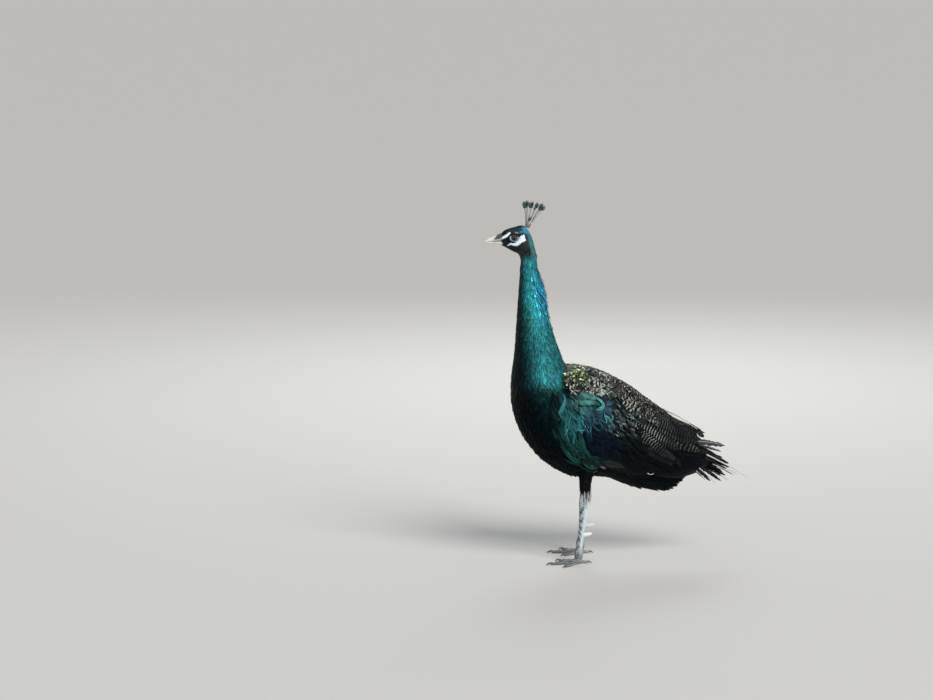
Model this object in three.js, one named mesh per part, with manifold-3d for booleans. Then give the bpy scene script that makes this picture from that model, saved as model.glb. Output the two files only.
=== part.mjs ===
// A standing Indian peacock out of its train, life size, in millimetres.
// +Z is up and the bird faces -X, so its left side is towards -Y.
// The origin lies on the floor, under the middle of the bird.
import * as THREE from "three";
import { mergeVertices } from "three/addons/utils/BufferGeometryUtils.js";
import Module from "manifold-3d";

const wasm = await Module();
wasm.setup();

// ---------- driving dimensions ----------
const GAP = 0.3; // clear space between neighbouring pieces
const TARSUS = 136; // hock to the root of the toes
const ANKLE_HEIGHT = 13; // root of the toes above the floor
const FOOT_SPREAD = 56; // each foot out from the middle line
const LEFT_ANKLE_X = -6; // how far back each foot stands
const RIGHT_ANKLE_X = 16;
const HOCK_SLOPE = 14; // the hock lies this far behind the ankle
const TOE_TURN = 9; // middle toes point this many degrees outwards
const EYE_RADIUS = 8.2;
const EYE_AT = { x: -164.5, y: 11.4, z: 817 };
const BACK_COVER = 9; // how far the wings stand up over the back
const WING_THICK = 13.5; // how far the folded wings stand out from the body
const WING_LAYER = 3.3; // from the outside of one layer of feathers to the outside of the next
const BODY_RINGS = 32;
const BODY_SIDES = 18;
const WING_RINGS = 13;
const WING_SIDES = 16;
const CREST_PLUMES = 7;
const TAIL_FEATHERS = 10;

// The body in side view, from the root of the bill to the root of the tail. Each station is a slice
// from a point on the nape and back to one on the throat and belly: [x, z], [x, z], half width,
// and how much wider the slice is on the belly side.
const BODY = [
  { back: [-196, 829], front: [-196, 800.5], half: 8.5, egg: 0 }, // root of the bill
  { back: [-184, 837], front: [-185, 793], half: 13, egg: 0.05 }, // lores
  { back: [-164, 842], front: [-169, 782], half: 18, egg: 0.08 }, // eyes
  { back: [-141, 846], front: [-153, 773], half: 20.5, egg: 0.05 }, // crown
  { back: [-122, 824], front: [-147, 757], half: 20.5, egg: 0 }, // nape
  { back: [-109, 785], front: [-149, 738], half: 21.5, egg: 0 }, // throat
  { back: [-102.5, 743], front: [-150.5, 718], half: 24.5, egg: 0 }, // top of the neck
  { back: [-86, 690], front: [-154, 676], half: 33, egg: 0 }, // high neck
  { back: [-72, 612], front: [-159, 606], half: 43, egg: 0 }, // middle neck
  { back: [-46, 534], front: [-165, 528], half: 56, egg: 0.03 }, // low neck
  { back: [-22, 492], front: [-172.5, 452], half: 74, egg: 0.08 }, // root of the neck
  { back: [25, 482], front: [-169.5, 388], half: 89, egg: 0.1 }, // shoulders
  { back: [70, 463], front: [-146, 320], half: 97, egg: 0.1 }, // breast
  { back: [115, 438], front: [-100, 259], half: 98, egg: 0.08 }, // flanks
  { back: [160, 405], front: [-33, 216], half: 94, egg: 0.06 }, // thighs
  { back: [205, 371], front: [58, 206], half: 84, egg: 0.04 }, // belly
  { back: [250, 339], front: [138, 179], half: 64, egg: 0.02 }, // vent
  { back: [288, 314], front: [214, 170], half: 42, egg: 0 }, // rump
  { back: [316, 290], front: [260, 198], half: 22, egg: 0 }, // root of the tail
];
const WING_FROM = 10; // the station where the folded wings begin
// The folded wings reach past the rump, and narrow to their tips over the tail.
const WING_END = [
  { back: [292, 334], front: [236, 178], half: 62, egg: 0 },
  { back: [330, 306], front: [302, 206], half: 46, egg: 0 },
  { back: [386, 266], front: [376, 236], half: 20, egg: 0 },
];

// ---------- solids ----------
// The closed solid of a geometry, turned inside out first if its faces point inwards.
function solidOf(geometry) {
  const bare = geometry.clone();
  bare.deleteAttribute("normal");
  bare.deleteAttribute("uv");
  const merged = mergeVertices(bare, 1e-3);
  const vertProperties = new Float32Array(merged.attributes.position.array);
  const triVerts = new Uint32Array(merged.index.array);
  const make = () =>
    new wasm.Manifold(new wasm.Mesh({ numProp: 3, vertProperties, triVerts }));
  const solid = make();
  if (solid.volume() >= 0) return solid;
  for (let i = 0; i < triVerts.length; i += 3)
    [triVerts[i + 1], triVerts[i + 2]] = [triVerts[i + 2], triVerts[i + 1]];
  return make();
}

const largestOf = (solid) =>
  solid.decompose().reduce((a, b) => (b.volume() > a.volume() ? b : a));

// A closed skin through rings of points, with a pole at each end.
function ringSolid(rings) {
  const sides = rings[0].length;
  const points = rings.flat();
  const triangles = [];
  const poles = [rings[0], rings[rings.length - 1]].map((ring) => {
    const middle = ring.reduce((sum, p) => sum.add(p), new THREE.Vector3());
    return points.push(middle.divideScalar(sides)) - 1;
  });
  const last = (rings.length - 1) * sides;
  for (let j = 0; j < sides; j++) {
    const next = (j + 1) % sides;
    for (let i = 0; i < rings.length - 1; i++) {
      const a = i * sides + j;
      const b = i * sides + next;
      triangles.push(a, b, a + sides, b, b + sides, a + sides);
    }
    triangles.push(poles[0], next, j, poles[1], last + j, last + next);
  }
  const geometry = new THREE.BufferGeometry().setFromPoints(points);
  return solidOf(geometry.setIndex(triangles));
}

// ---------- body ----------
const curveThrough = (points) =>
  new THREE.CatmullRomCurve3(
    points.map(([x, z]) => new THREE.Vector3(x, 0, z)),
    false,
    "catmullrom",
    0.5,
  );

// Slices laid along two outlines, one over the back and one under the belly. grow moves the whole
// surface outwards by that many millimetres.
function bodySolid(stations, ringCount, sides, grow = 0) {
  const back = curveThrough(stations.map((s) => s.back));
  const front = curveThrough(stations.map((s) => s.front));
  const sizes = new THREE.CatmullRomCurve3(
    stations.map((s) => new THREE.Vector3(s.half, s.egg, 0)),
    false,
    "catmullrom",
    0.5,
  );
  const rings = [];
  for (let i = 0; i < ringCount; i++) {
    const t = i / (ringCount - 1);
    const top = back.getPoint(t);
    const bottom = front.getPoint(t);
    const size = sizes.getPoint(t);
    const middle = top.clone().add(bottom).multiplyScalar(0.5);
    const reach = top.clone().sub(bottom).multiplyScalar(0.5);
    reach.setLength(reach.length() + grow);
    const ring = [];
    for (let j = 0; j < sides; j++) {
      const angle = (2 * Math.PI * j) / sides;
      const along = Math.cos(angle);
      const across = Math.sin(angle) * (1 - size.y * along);
      const point = middle.clone().addScaledVector(reach, along);
      point.y = (size.x + grow) * across;
      ring.push(point);
    }
    rings.push(ring);
  }
  return ringSolid(rings);
}

// ---------- tubes and blades ----------
// A tapered tube along a curve. Each stop is [x, y, z, radius], and flat squashes it across Y.
function tubeSolid(stops, ringCount, sides, flat = 1) {
  const path = new THREE.CatmullRomCurve3(
    stops.map(([x, y, z]) => new THREE.Vector3(x, y, z)),
    false,
    "catmullrom",
    0.5,
  );
  const radii = new THREE.CatmullRomCurve3(
    stops.map((s) => new THREE.Vector3(s[3], 0, 0)),
    false,
    "catmullrom",
    0.5,
  );
  const rings = [];
  for (let i = 0; i < ringCount; i++) {
    const t = i / (ringCount - 1);
    const at = path.getPoint(t);
    const along = path.getTangent(t);
    const radius = Math.max(radii.getPoint(t).x, 0.25);
    const side = new THREE.Vector3(0, 1, 0).addScaledVector(along, -along.y);
    if (side.length() < 0.2) side.set(1, 0, 0).addScaledVector(along, -along.x);
    side.normalize();
    const up = new THREE.Vector3().crossVectors(side, along).normalize();
    rings.push(
      Array.from({ length: sides }, (_, j) => {
        const angle = (2 * Math.PI * j) / sides;
        return at
          .clone()
          .addScaledVector(side, radius * flat * Math.cos(angle))
          .addScaledVector(up, radius * Math.sin(angle));
      }),
    );
  }
  return ringSolid(rings);
}

// A flat feather from root to tip, widest past its middle, with a rounded end.
function featherSolid({ root, tip, width, thick, face, ringCount = 7 }) {
  const along = tip.clone().sub(root);
  const side = new THREE.Vector3().crossVectors(face, along).normalize();
  const up = new THREE.Vector3().crossVectors(along, side).normalize();
  const rings = [];
  for (let i = 0; i < ringCount; i++) {
    const t = i / (ringCount - 1);
    const spread = 0.22 + 0.78 * Math.sin((Math.PI * t ** 1.2) / 1.6);
    const half = (width / 2) * (t > 0.85 ? spread * Math.sqrt(1.02 - ((t - 0.85) / 0.15) ** 2) : spread);
    const depth = thick * (1 - 0.6 * t);
    const at = root.clone().addScaledVector(along, t);
    rings.push(
      [
        [-1, 0],
        [0, 0.5],
        [1, 0],
        [0, -0.5],
      ].map(([a, b]) => at.clone().addScaledVector(side, a * half).addScaledVector(up, b * depth)),
    );
  }
  return ringSolid(rings);
}

// ---------- scene ----------
const FEATHER = { roughness: 0.55, metalness: 0.15 };
const COLOURS = {
  face: 0x1d2426,
  neck: 0x0f6f86,
  breast: 0x06343a,
  mottled: 0x5c574b,
  barred: 0x6b6252,
  wing: 0x0b1c2c,
  quill: 0x55514a,
  bill: 0xb9b29c,
  eye: 0x2a1a10,
  leg: 0xa9aaa4,
  claw: 0x4a443c,
};
const bird = new THREE.Group();

function add(name, solid, colour, finish = FEATHER) {
  const whole = largestOf(solid);
  const { vertProperties, triVerts, numProp, numVert } = whole.getMesh();
  const positions = new Float32Array(numVert * 3);
  for (let i = 0; i < numVert; i++)
    positions.set(vertProperties.subarray(i * numProp, i * numProp + 3), i * 3);
  const geometry = new THREE.BufferGeometry();
  geometry.setAttribute("position", new THREE.BufferAttribute(positions, 3));
  geometry.setIndex(new THREE.BufferAttribute(new Uint32Array(triVerts), 1));
  geometry.computeVertexNormals();
  const mesh = new THREE.Mesh(
    geometry,
    new THREE.MeshStandardMaterial({ color: colour, ...finish }),
  );
  mesh.name = name;
  bird.add(mesh);
}

// The part of a solid between two planes, each square to the line from `from` to `to` in side view.
function sliceBetween(solid, low, high) {
  let kept = solid;
  for (const [cut, sense] of [
    [low, 1],
    [high, -1],
  ]) {
    if (!cut) continue;
    const normal = new THREE.Vector3(cut.normal[0], 0, cut.normal[1]).normalize();
    normal.multiplyScalar(sense);
    const offset = normal.x * cut.point[0] + normal.z * cut.point[1];
    kept = kept.trimByPlane([normal.x, 0, normal.z], offset + GAP / 2);
  }
  return kept;
}

// Cuts across the neck, from the head down: a point on each, and the way up the neck there.
const CUTS = {
  throat: { point: [-122, 768], normal: [-0.3, 1] },
  highNeck: { point: [-116, 682], normal: [-0.1, 1] },
  lowNeck: { point: [-110, 590], normal: [-0.08, 1] },
  neckRoot: { point: [-96, 492], normal: [-0.42, 1] },
  rump: { point: [176, 290], normal: [-1, 0.5] },
};

const wholeBody = bodySolid(BODY, BODY_RINGS, BODY_SIDES);
const clearBody = bodySolid(BODY, BODY_RINGS, BODY_SIDES, GAP);

// ---------- head ----------
function buildHead() {
  const eyes = [-1, 1].map((side) =>
    solidOf(new THREE.SphereGeometry(EYE_RADIUS, 12, 7)).translate([
      EYE_AT.x,
      side * EYE_AT.y,
      EYE_AT.z,
    ]),
  );
  const sockets = [-1, 1].map((side) =>
    solidOf(new THREE.SphereGeometry(EYE_RADIUS + GAP, 12, 7)).translate([
      EYE_AT.x,
      side * EYE_AT.y,
      EYE_AT.z,
    ]),
  );
  let head = sliceBetween(wholeBody, CUTS.throat, null);
  for (const socket of sockets) head = head.subtract(socket);
  add("head", head, COLOURS.face);
  add("eye_left", eyes[0], COLOURS.eye, { roughness: 0.05, metalness: 0 });
  add("eye_right", eyes[1], COLOURS.eye, { roughness: 0.05, metalness: 0 });
}

// The bill: an arched upper half that hooks a little over a straighter lower half.
const UPPER_BILL = [
  { back: [-184, 833], front: [-186, 811.5], half: 9.5, egg: 0.1 },
  { back: [-199, 829], front: [-200, 811.4], half: 8, egg: 0.15 },
  { back: [-213, 824], front: [-214, 811.2], half: 6.2, egg: 0.15 },
  { back: [-227, 818], front: [-227, 810.6], half: 4, egg: 0.1 },
  { back: [-237, 811.5], front: [-236.6, 808.8], half: 1.3, egg: 0 },
];
const LOWER_BILL = [
  { back: [-184, 810.8], front: [-184, 799], half: 9, egg: -0.1 },
  { back: [-199, 810.8], front: [-198, 803], half: 7.4, egg: -0.1 },
  { back: [-214, 810.6], front: [-213, 804.6], half: 5.4, egg: -0.1 },
  { back: [-231, 809.6], front: [-230.5, 807.4], half: 2.2, egg: 0 },
];
function buildBill() {
  const horn = { roughness: 0.4, metalness: 0 };
  const upper = bodySolid(UPPER_BILL, 9, 10);
  const lower = bodySolid(LOWER_BILL, 7, 10);
  const apart = bodySolid(UPPER_BILL, 9, 10, GAP);
  add("bill_upper", upper.subtract(clearBody), COLOURS.bill, horn);
  add("bill_lower", lower.subtract(clearBody).subtract(apart), COLOURS.bill, horn);
}

// The crest: bare shafts in a narrow fan from the back of the crown, each tipped with a small fan.
const CREST = { x: -131, z: 844.5, tall: 59.5, lean: -11, spread: 52, shaft: 0.55, tip: 17 };
function buildCrest() {
  let crest = tubeSolid(
    [
      [CREST.x - 8, 0, CREST.z - 1, 2],
      [CREST.x, 0, CREST.z + 1, 4],
      [CREST.x + 7, 0, CREST.z - 9, 2],
    ],
    5,
    6,
  );
  for (let i = 0; i < CREST_PLUMES; i++) {
    const across = i / (CREST_PLUMES - 1) - 0.5;
    const lean = THREE.MathUtils.degToRad(CREST.lean - across * CREST.spread);
    const tall = CREST.tall * (1 - 0.16 * Math.abs(across) - 0.06 * (i % 2));
    const sway = 0.13 * ((i % 3) - 1);
    const way = new THREE.Vector3(-Math.sin(lean), sway, Math.cos(lean)).normalize();
    const root = new THREE.Vector3(CREST.x + across * 10, 0, CREST.z - 1 - 5 * across);
    const end = root.clone().addScaledVector(way, tall);
    const fan = end.clone().addScaledVector(way, -CREST.tip);
    const inFan = fan.clone().addScaledVector(way, 3);
    crest = crest.add(
      tubeSolid([[...root.toArray(), CREST.shaft], [...inFan.toArray(), CREST.shaft]], 2, 4),
    );
    const face = new THREE.Vector3(0, 1, 0);
    crest = crest.add(
      featherSolid({ root: fan, tip: end, width: 11, thick: 1.6, face, ringCount: 5 }),
    );
  }
  add("crest", crest.subtract(clearBody), COLOURS.neck);
}

// ---------- neck and trunk ----------
function buildTrunk() {
  const neck = { roughness: 0.45, metalness: 0.3 };
  add("neck_upper", sliceBetween(wholeBody, CUTS.highNeck, CUTS.throat), COLOURS.neck, neck);
  add("neck_middle", sliceBetween(wholeBody, CUTS.lowNeck, CUTS.highNeck), COLOURS.neck, neck);
  add("neck_lower", sliceBetween(wholeBody, CUTS.neckRoot, CUTS.lowNeck), COLOURS.neck, neck);
  const below = sliceBetween(wholeBody, null, CUTS.neckRoot);
  add("trunk", sliceBetween(below, CUTS.rump, null), COLOURS.breast);
  add("rump", sliceBetween(below, null, CUTS.rump), COLOURS.wing);
}

// ---------- wings ----------
// Rounded feather tips along the edge from one point to another of a side-view outline.
function tipsAlong(shape, from, to, count, depth) {
  const start = new THREE.Vector2(...from);
  const step = new THREE.Vector2(...to).sub(start).divideScalar(count);
  const out = new THREE.Vector2(step.y, -step.x).normalize().multiplyScalar(depth);
  for (let i = 0; i < count; i++) {
    const a = start.clone().addScaledVector(step, i);
    const b = a.clone().add(step);
    const peak = a.clone().addScaledVector(step, 0.55).add(out);
    const before = a.clone().lerp(peak, 0.7).addScaledVector(out, 0.25);
    const after = b.clone().lerp(peak, 0.7).addScaledVector(out, 0.15);
    for (const p of [before, after, b]) shape.lineTo(p.x, p.y);
  }
}

// A side-view outline pulled through both sides of the bird.
function sidePrism(draw) {
  const shape = new THREE.Shape();
  draw(shape);
  const geometry = new THREE.ExtrudeGeometry(shape, {
    depth: 400,
    bevelEnabled: false,
    curveSegments: 3,
  });
  geometry.translate(0, 0, -200);
  geometry.rotateX(Math.PI / 2); // the outline's y becomes the bird's height
  return solidOf(geometry);
}

// The feather groups of a folded wing: the layer each lies in, counted inwards from the outermost,
// and its outline in side view.
const WING_GROUPS = [
  {
    name: "scapulars",
    layer: 0,
    colour: "mottled",
    draw(s) {
      s.moveTo(-42, 530);
      s.lineTo(-22, 432);
      tipsAlong(s, [-22, 432], [166, 378], 6, -9);
      s.lineTo(205, 395);
      s.lineTo(250, 530);
      s.closePath();
    },
  },
  {
    name: "coverts",
    layer: 1,
    colour: "wing",
    draw(s) {
      s.moveTo(-30, 460);
      s.quadraticCurveTo(-4, 380, 22, 322);
      tipsAlong(s, [22, 322], [147, 296], 4, -10);
      s.lineTo(144, 330);
      s.lineTo(106, 430);
      s.closePath();
    },
  },
  {
    name: "tertials",
    layer: 1,
    colour: "barred",
    draw(s) {
      s.moveTo(108, 530);
      s.lineTo(108, 430);
      s.lineTo(146, 330);
      s.lineTo(158, 300);
      tipsAlong(s, [158, 300], [308, 256], 4, -9);
      s.lineTo(330, 290);
      s.lineTo(334, 530);
      s.closePath();
    },
  },
  {
    name: "secondaries",
    layer: 2,
    colour: "wing",
    draw(s) {
      s.moveTo(20, 340);
      s.quadraticCurveTo(34, 280, 62, 236);
      tipsAlong(s, [62, 236], [250, 196], 5, -8);
      tipsAlong(s, [250, 196], [318, 232], 2, -8);
      s.lineTo(318, 330);
      s.closePath();
    },
  },
  {
    name: "primaries",
    layer: 3,
    colour: "quill",
    draw(s) {
      s.moveTo(270, 216);
      tipsAlong(s, [270, 216], [400, 240], 4, -8);
      s.lineTo(400, 275);
      s.lineTo(270, 400);
      s.closePath();
    },
  },
];
// The back shows between the wings as a wedge, narrower towards the tail.
const BACK_WEDGE = { point: [400, 3], normal: [0.07, 1] };

function buildWings() {
  const folded = BODY.slice(WING_FROM, -2).map((s) => {
    const way = new THREE.Vector2(s.back[0] - s.front[0], s.back[1] - s.front[1]).normalize();
    return {
      back: [s.back[0] + way.x * BACK_COVER, s.back[1] + way.y * BACK_COVER],
      front: s.front,
      half: s.half + WING_THICK,
      egg: s.egg,
    };
  });
  const stations = [...folded, ...WING_END];
  const surface = (grow) => bodySolid(stations, WING_RINGS, WING_SIDES, grow);
  const room = clearBody.add(tailRoom()).add(tailSolid(GAP));
  for (const group of WING_GROUPS) {
    const outside = surface(-group.layer * WING_LAYER);
    const inside = surface(-(group.layer + 1) * WING_LAYER + GAP);
    const shell = outside.intersect(sidePrism(group.draw)).subtract(inside).subtract(room);
    for (const [side, sense] of [
      ["left", -1],
      ["right", 1],
    ]) {
      const normal = new THREE.Vector3(BACK_WEDGE.normal[0], sense, 0).normalize();
      const edge = new THREE.Vector3(BACK_WEDGE.point[0], sense * BACK_WEDGE.point[1], 0);
      const half = shell.trimByPlane(normal.toArray(), normal.dot(edge));
      add(`wing_${side}_${group.name}`, half, COLOURS[group.colour]);
    }
  }
}

// ---------- tail ----------
const TAIL = { x: 298, z: 258, width: 26, thick: 3, spread: 34 };
// The feathers lie over each other in four rows, from the top down: the slope and length of each.
const TAIL_ROWS = [
  { slope: -20, long: 96 },
  { slope: -29, long: 160 },
  { slope: -36, long: 138 },
  { slope: -45, long: 92 },
];
// The space that the tail keeps to itself under the wing tips.
function tailRoom() {
  return bodySolid(
    [
      { back: [270, 300], front: [246, 190], half: 24, egg: 0 },
      { back: [330, 268], front: [304, 180], half: 30, egg: 0 },
      { back: [440, 228], front: [400, 120], half: 60, egg: 0 },
    ],
    4,
    10,
  );
}

function tailSolid(grow) {
  let tail = tubeSolid(
    [
      [TAIL.x - 8, 0, TAIL.z - 4, 13 + grow],
      [TAIL.x + 26, 0, TAIL.z - 24, 11 + grow],
      [TAIL.x + 52, 0, TAIL.z - 42, 5 + grow],
    ],
    5,
    8,
    1.3,
  );
  for (let i = 0; i < TAIL_FEATHERS; i++) {
    const across = i / (TAIL_FEATHERS - 1) - 0.5;
    const turn = THREE.MathUtils.degToRad(across * TAIL.spread);
    const low = (i * 3) % 4;
    const row = TAIL_ROWS[low];
    const slope = THREE.MathUtils.degToRad(row.slope);
    const way = new THREE.Vector3(
      Math.cos(turn) * Math.cos(slope),
      Math.sin(turn),
      Math.sin(slope),
    ).normalize();
    const root = new THREE.Vector3(TAIL.x, across * 22, TAIL.z + 3 - 4 * low);
    const long = row.long * (1 - 0.16 * Math.abs(across)) + grow;
    tail = tail.add(
      featherSolid({
        root,
        tip: root.clone().addScaledVector(way, long),
        width: TAIL.width + 4 * grow,
        thick: TAIL.thick + 4 * grow,
        face: new THREE.Vector3(0, -across, 1),
        ringCount: 5,
      }),
    );
  }
  return tail;
}

const buildTail = () => add("tail", tailSolid(0).subtract(clearBody), COLOURS.quill);

// ---------- legs ----------
const TOES = [
  { name: "inner", long: 50, turn: -38, root: 6.2, end: 4, claw: 13 },
  { name: "middle", long: 70, turn: 0, root: 6.8, end: 4.2, claw: 15 },
  { name: "outer", long: 56, turn: 38, root: 6.2, end: 4, claw: 13 },
  { name: "back", long: 22, turn: 168, root: 5, end: 3.6, claw: 11 },
];
const SOLE = 1.3; // the toes are pressed this far into the floor, which leaves a flat

// A toe runs out flat along the floor, and its claw curves down to it.
function buildToe(side, toe, ankle) {
  const turn = THREE.MathUtils.degToRad(side * (toe.turn + TOE_TURN));
  const way = new THREE.Vector3(-Math.cos(turn), Math.sin(turn), 0);
  const place = (out, z, radius) => {
    const p = ankle.clone().addScaledVector(way, out);
    return [p.x, p.y, z, radius];
  };
  const flesh = tubeSolid(
    [
      place(0, ANKLE_HEIGHT - 5, toe.root),
      place(toe.long * 0.3, toe.root - SOLE, toe.root),
      place(toe.long * 0.62, toe.end + 0.6 - SOLE, toe.end + 0.6),
      place(toe.long + 3, toe.end - SOLE, toe.end * 0.8),
    ],
    6,
    6,
  );
  const claw = tubeSolid(
    [
      place(toe.long - 3, toe.end + 1, toe.end * 0.75),
      place(toe.long + toe.claw * 0.5, toe.end + 1, toe.end * 0.55),
      place(toe.long + toe.claw, 0.9, 0.5),
    ],
    4,
    6,
  );
  // the claw takes over from the flesh at one clean cut across the toe
  const cutAt = way.dot(ankle) + toe.long;
  return {
    flesh: flesh.trimByPlane(way.clone().negate().toArray(), -cutAt),
    claw: claw.trimByPlane([0, 0, 1], 0.05).trimByPlane(way.toArray(), cutAt + GAP),
  };
}

function buildLeg(leg, side, ankleX) {
  const y = side * FOOT_SPREAD;
  const ankle = new THREE.Vector3(ankleX, y, 0);
  const hock = [ankleX + HOCK_SLOPE, y, ANKLE_HEIGHT + TARSUS];
  const scales = { roughness: 0.6, metalness: 0 };
  const thigh = tubeSolid(
    [
      [ankleX + 28, y * 0.78, 276, 37],
      [ankleX + 18, y * 0.9, 222, 19.5],
      [ankleX + 15, y, 184, 15.5],
      [hock[0], y, hock[2] + 8, 15],
    ],
    8,
    12,
    0.85,
  );
  const tarsusTube = (grow) =>
    tubeSolid(
      [
        [hock[0], hock[1], hock[2] + 12, 14],
        [hock[0], hock[1], hock[2] - 4, 15],
        [hock[0] - 2, hock[1], hock[2] - 30, 12.6],
        [ankleX + HOCK_SLOPE * 0.42, y, ANKLE_HEIGHT + TARSUS * 0.48, 7.8],
        [ankleX + 3, y, ANKLE_HEIGHT + 34, 7.4],
        [ankleX, y, ANKLE_HEIGHT + 10, 11],
        [ankleX, y, ANKLE_HEIGHT - 2, 10],
        [ankleX, y, 5, 7],
      ].map(([a, b, c, r]) => [a, b, c, r + grow]),
      12,
      10,
      0.78,
    );
  const leanness = tarsusTube(0);
  const spurRoot = [ankleX + 8, y - side * 2, ANKLE_HEIGHT + TARSUS * 0.43];
  const spur = tubeSolid(
    [
      [...spurRoot, 6.4],
      [spurRoot[0] + 14, spurRoot[1] - side, spurRoot[2] + 1, 5.4],
      [spurRoot[0] + 26, spurRoot[1] - side * 2, spurRoot[2] + 3, 2.6],
    ],
    5,
    6,
  );
  const ankleCut = ANKLE_HEIGHT + 3;
  const hockCut = hock[2] + 6;
  let foot = leanness;
  for (const toe of TOES) {
    const made = buildToe(side, toe, ankle);
    foot = foot.add(made.flesh);
    add(`claw_${leg}_${toe.name}`, made.claw, COLOURS.claw, scales);
  }
  foot = foot.trimByPlane([0, 0, 1], 0).trimByPlane([0, 0, -1], -ankleCut);
  const tarsus = leanness.trimByPlane([0, 0, 1], ankleCut + GAP).trimByPlane([0, 0, -1], -hockCut);
  add(`foot_${leg}`, foot, COLOURS.leg, scales);
  add(`tarsus_${leg}`, tarsus, COLOURS.leg, scales);
  add(`spur_${leg}`, spur.subtract(tarsusTube(GAP)), COLOURS.leg, scales);
  const above = thigh.trimByPlane([0, 0, 1], hockCut + GAP);
  add(`thigh_${leg}`, above.subtract(clearBody), COLOURS.breast);
}

buildHead();
buildBill();
buildCrest();
buildTrunk();
buildWings();
buildTail();
buildLeg("left", -1, LEFT_ANKLE_X);
buildLeg("right", 1, RIGHT_ANKLE_X);

// The origin moves to the floor under the middle of the bird.
const box = new THREE.Box3().setFromObject(bird);
const middle = box.getCenter(new THREE.Vector3());
bird.position.set(-middle.x, -middle.y, -box.min.z);

export default bird;
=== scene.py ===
import math

import bmesh
import bpy
import numpy as np
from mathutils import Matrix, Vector


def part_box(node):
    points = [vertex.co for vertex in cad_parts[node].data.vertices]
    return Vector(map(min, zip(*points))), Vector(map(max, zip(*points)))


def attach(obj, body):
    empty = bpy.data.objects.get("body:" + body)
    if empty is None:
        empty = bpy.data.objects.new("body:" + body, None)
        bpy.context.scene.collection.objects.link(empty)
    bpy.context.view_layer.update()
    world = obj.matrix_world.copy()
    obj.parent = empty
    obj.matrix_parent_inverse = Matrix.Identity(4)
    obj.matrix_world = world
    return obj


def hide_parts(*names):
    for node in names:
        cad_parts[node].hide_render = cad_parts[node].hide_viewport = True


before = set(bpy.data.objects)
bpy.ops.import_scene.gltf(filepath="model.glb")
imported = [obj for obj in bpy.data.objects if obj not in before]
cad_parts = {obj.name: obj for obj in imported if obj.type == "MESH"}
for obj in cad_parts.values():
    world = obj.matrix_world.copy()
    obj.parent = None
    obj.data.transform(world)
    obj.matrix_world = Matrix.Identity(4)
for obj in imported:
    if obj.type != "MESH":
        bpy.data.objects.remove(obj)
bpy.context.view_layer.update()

# The tables below are in millimetres, in the bird's own layout: bill to -X, floor at z 0.
mm = 0.001
billTipX = -237.0
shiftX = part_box("bill_upper")[0][0] / mm - billTipX
rng = np.random.default_rng(7)
fullTurn = 2 * math.pi


def toWorld(p):
    return (np.asarray(p, dtype=float) + np.array([shiftX, 0.0, 0.0])) * mm


def smooth(lo, hi, x):
    t = np.clip((np.asarray(x, dtype=float) - lo) / (hi - lo), 0.0, 1.0)
    return t * t * (3 - 2 * t)


def hill(x, at, wide):
    # 1 at its top, falling away to both sides
    return np.exp(-(((x - at) / wide) ** 2))


def dot(a, b):
    return np.sum(a * b, axis=-1)


def unit(a):
    return a / np.maximum(np.linalg.norm(a, axis=-1, keepdims=True), 1e-9)


def mix(a, b, t):
    t = np.asarray(t)[..., None]
    return np.asarray(a) * (1 - t) + np.asarray(b) * t


def addNode(tree, kind, inputs=None, **settings):
    # a node with its settings, and a link or a plain value for each socket named in inputs
    made = tree.nodes.new(kind)
    for key, value in settings.items():
        setattr(made, key, value)
    for key, value in (inputs or {}).items():
        if isinstance(value, bpy.types.NodeSocket):
            tree.links.new(value, made.inputs[key])
        else:
            made.inputs[key].default_value = value
    return made


def newMaterial(name):
    material = bpy.data.materials.new(name)
    material.use_nodes = True
    return material, material.node_tree, material.node_tree.nodes["Principled BSDF"]


# Camera, floor and light, in metres.
studio = {
    "cameraAt": (-1.3112, -7.5858, 1.7469),
    "azimuth": -7.0,
    "elevation": 9.0,
    "lens": 120.4,
    "floor": (0.60, 0.59, 0.57),
    "floorReach": 90.0,
    "ambient": (0.84, 0.88, 0.92),
    "ambientStrength": 0.36,
    "sunFrom": (1.7, -3.2, 3.4),
    "sunStrength": 2.5,
    "sunAngle": 32,
    "sunColour": (1.0, 0.975, 0.94),
    "lamps": {  # place, aim, size, watts and colour
        "fillLight": ((-3.2, -2.6, 1.8), (0.0, 0.0, 0.5), 2.2, 16.0, (0.86, 0.93, 1.0)),
        "rimLight": ((0.6, 3.2, 2.6), (0.0, 0.0, 0.5), 1.8, 50.0, (0.95, 0.98, 1.0)),
        "eyeLight": ((2.08, -3.24, 1.1), (-0.26, 0.0, 0.81), 0.45, 18.0, (1.0, 1.0, 1.0)),
    },
}


def putInScene(name, data, towards=None):
    obj = bpy.data.objects.new(name, data)
    bpy.context.scene.collection.objects.link(obj)
    if towards is not None:
        obj.rotation_mode = "QUATERNION"
        obj.rotation_quaternion = towards.to_track_quat("-Z", "Y")
    return obj


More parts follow.
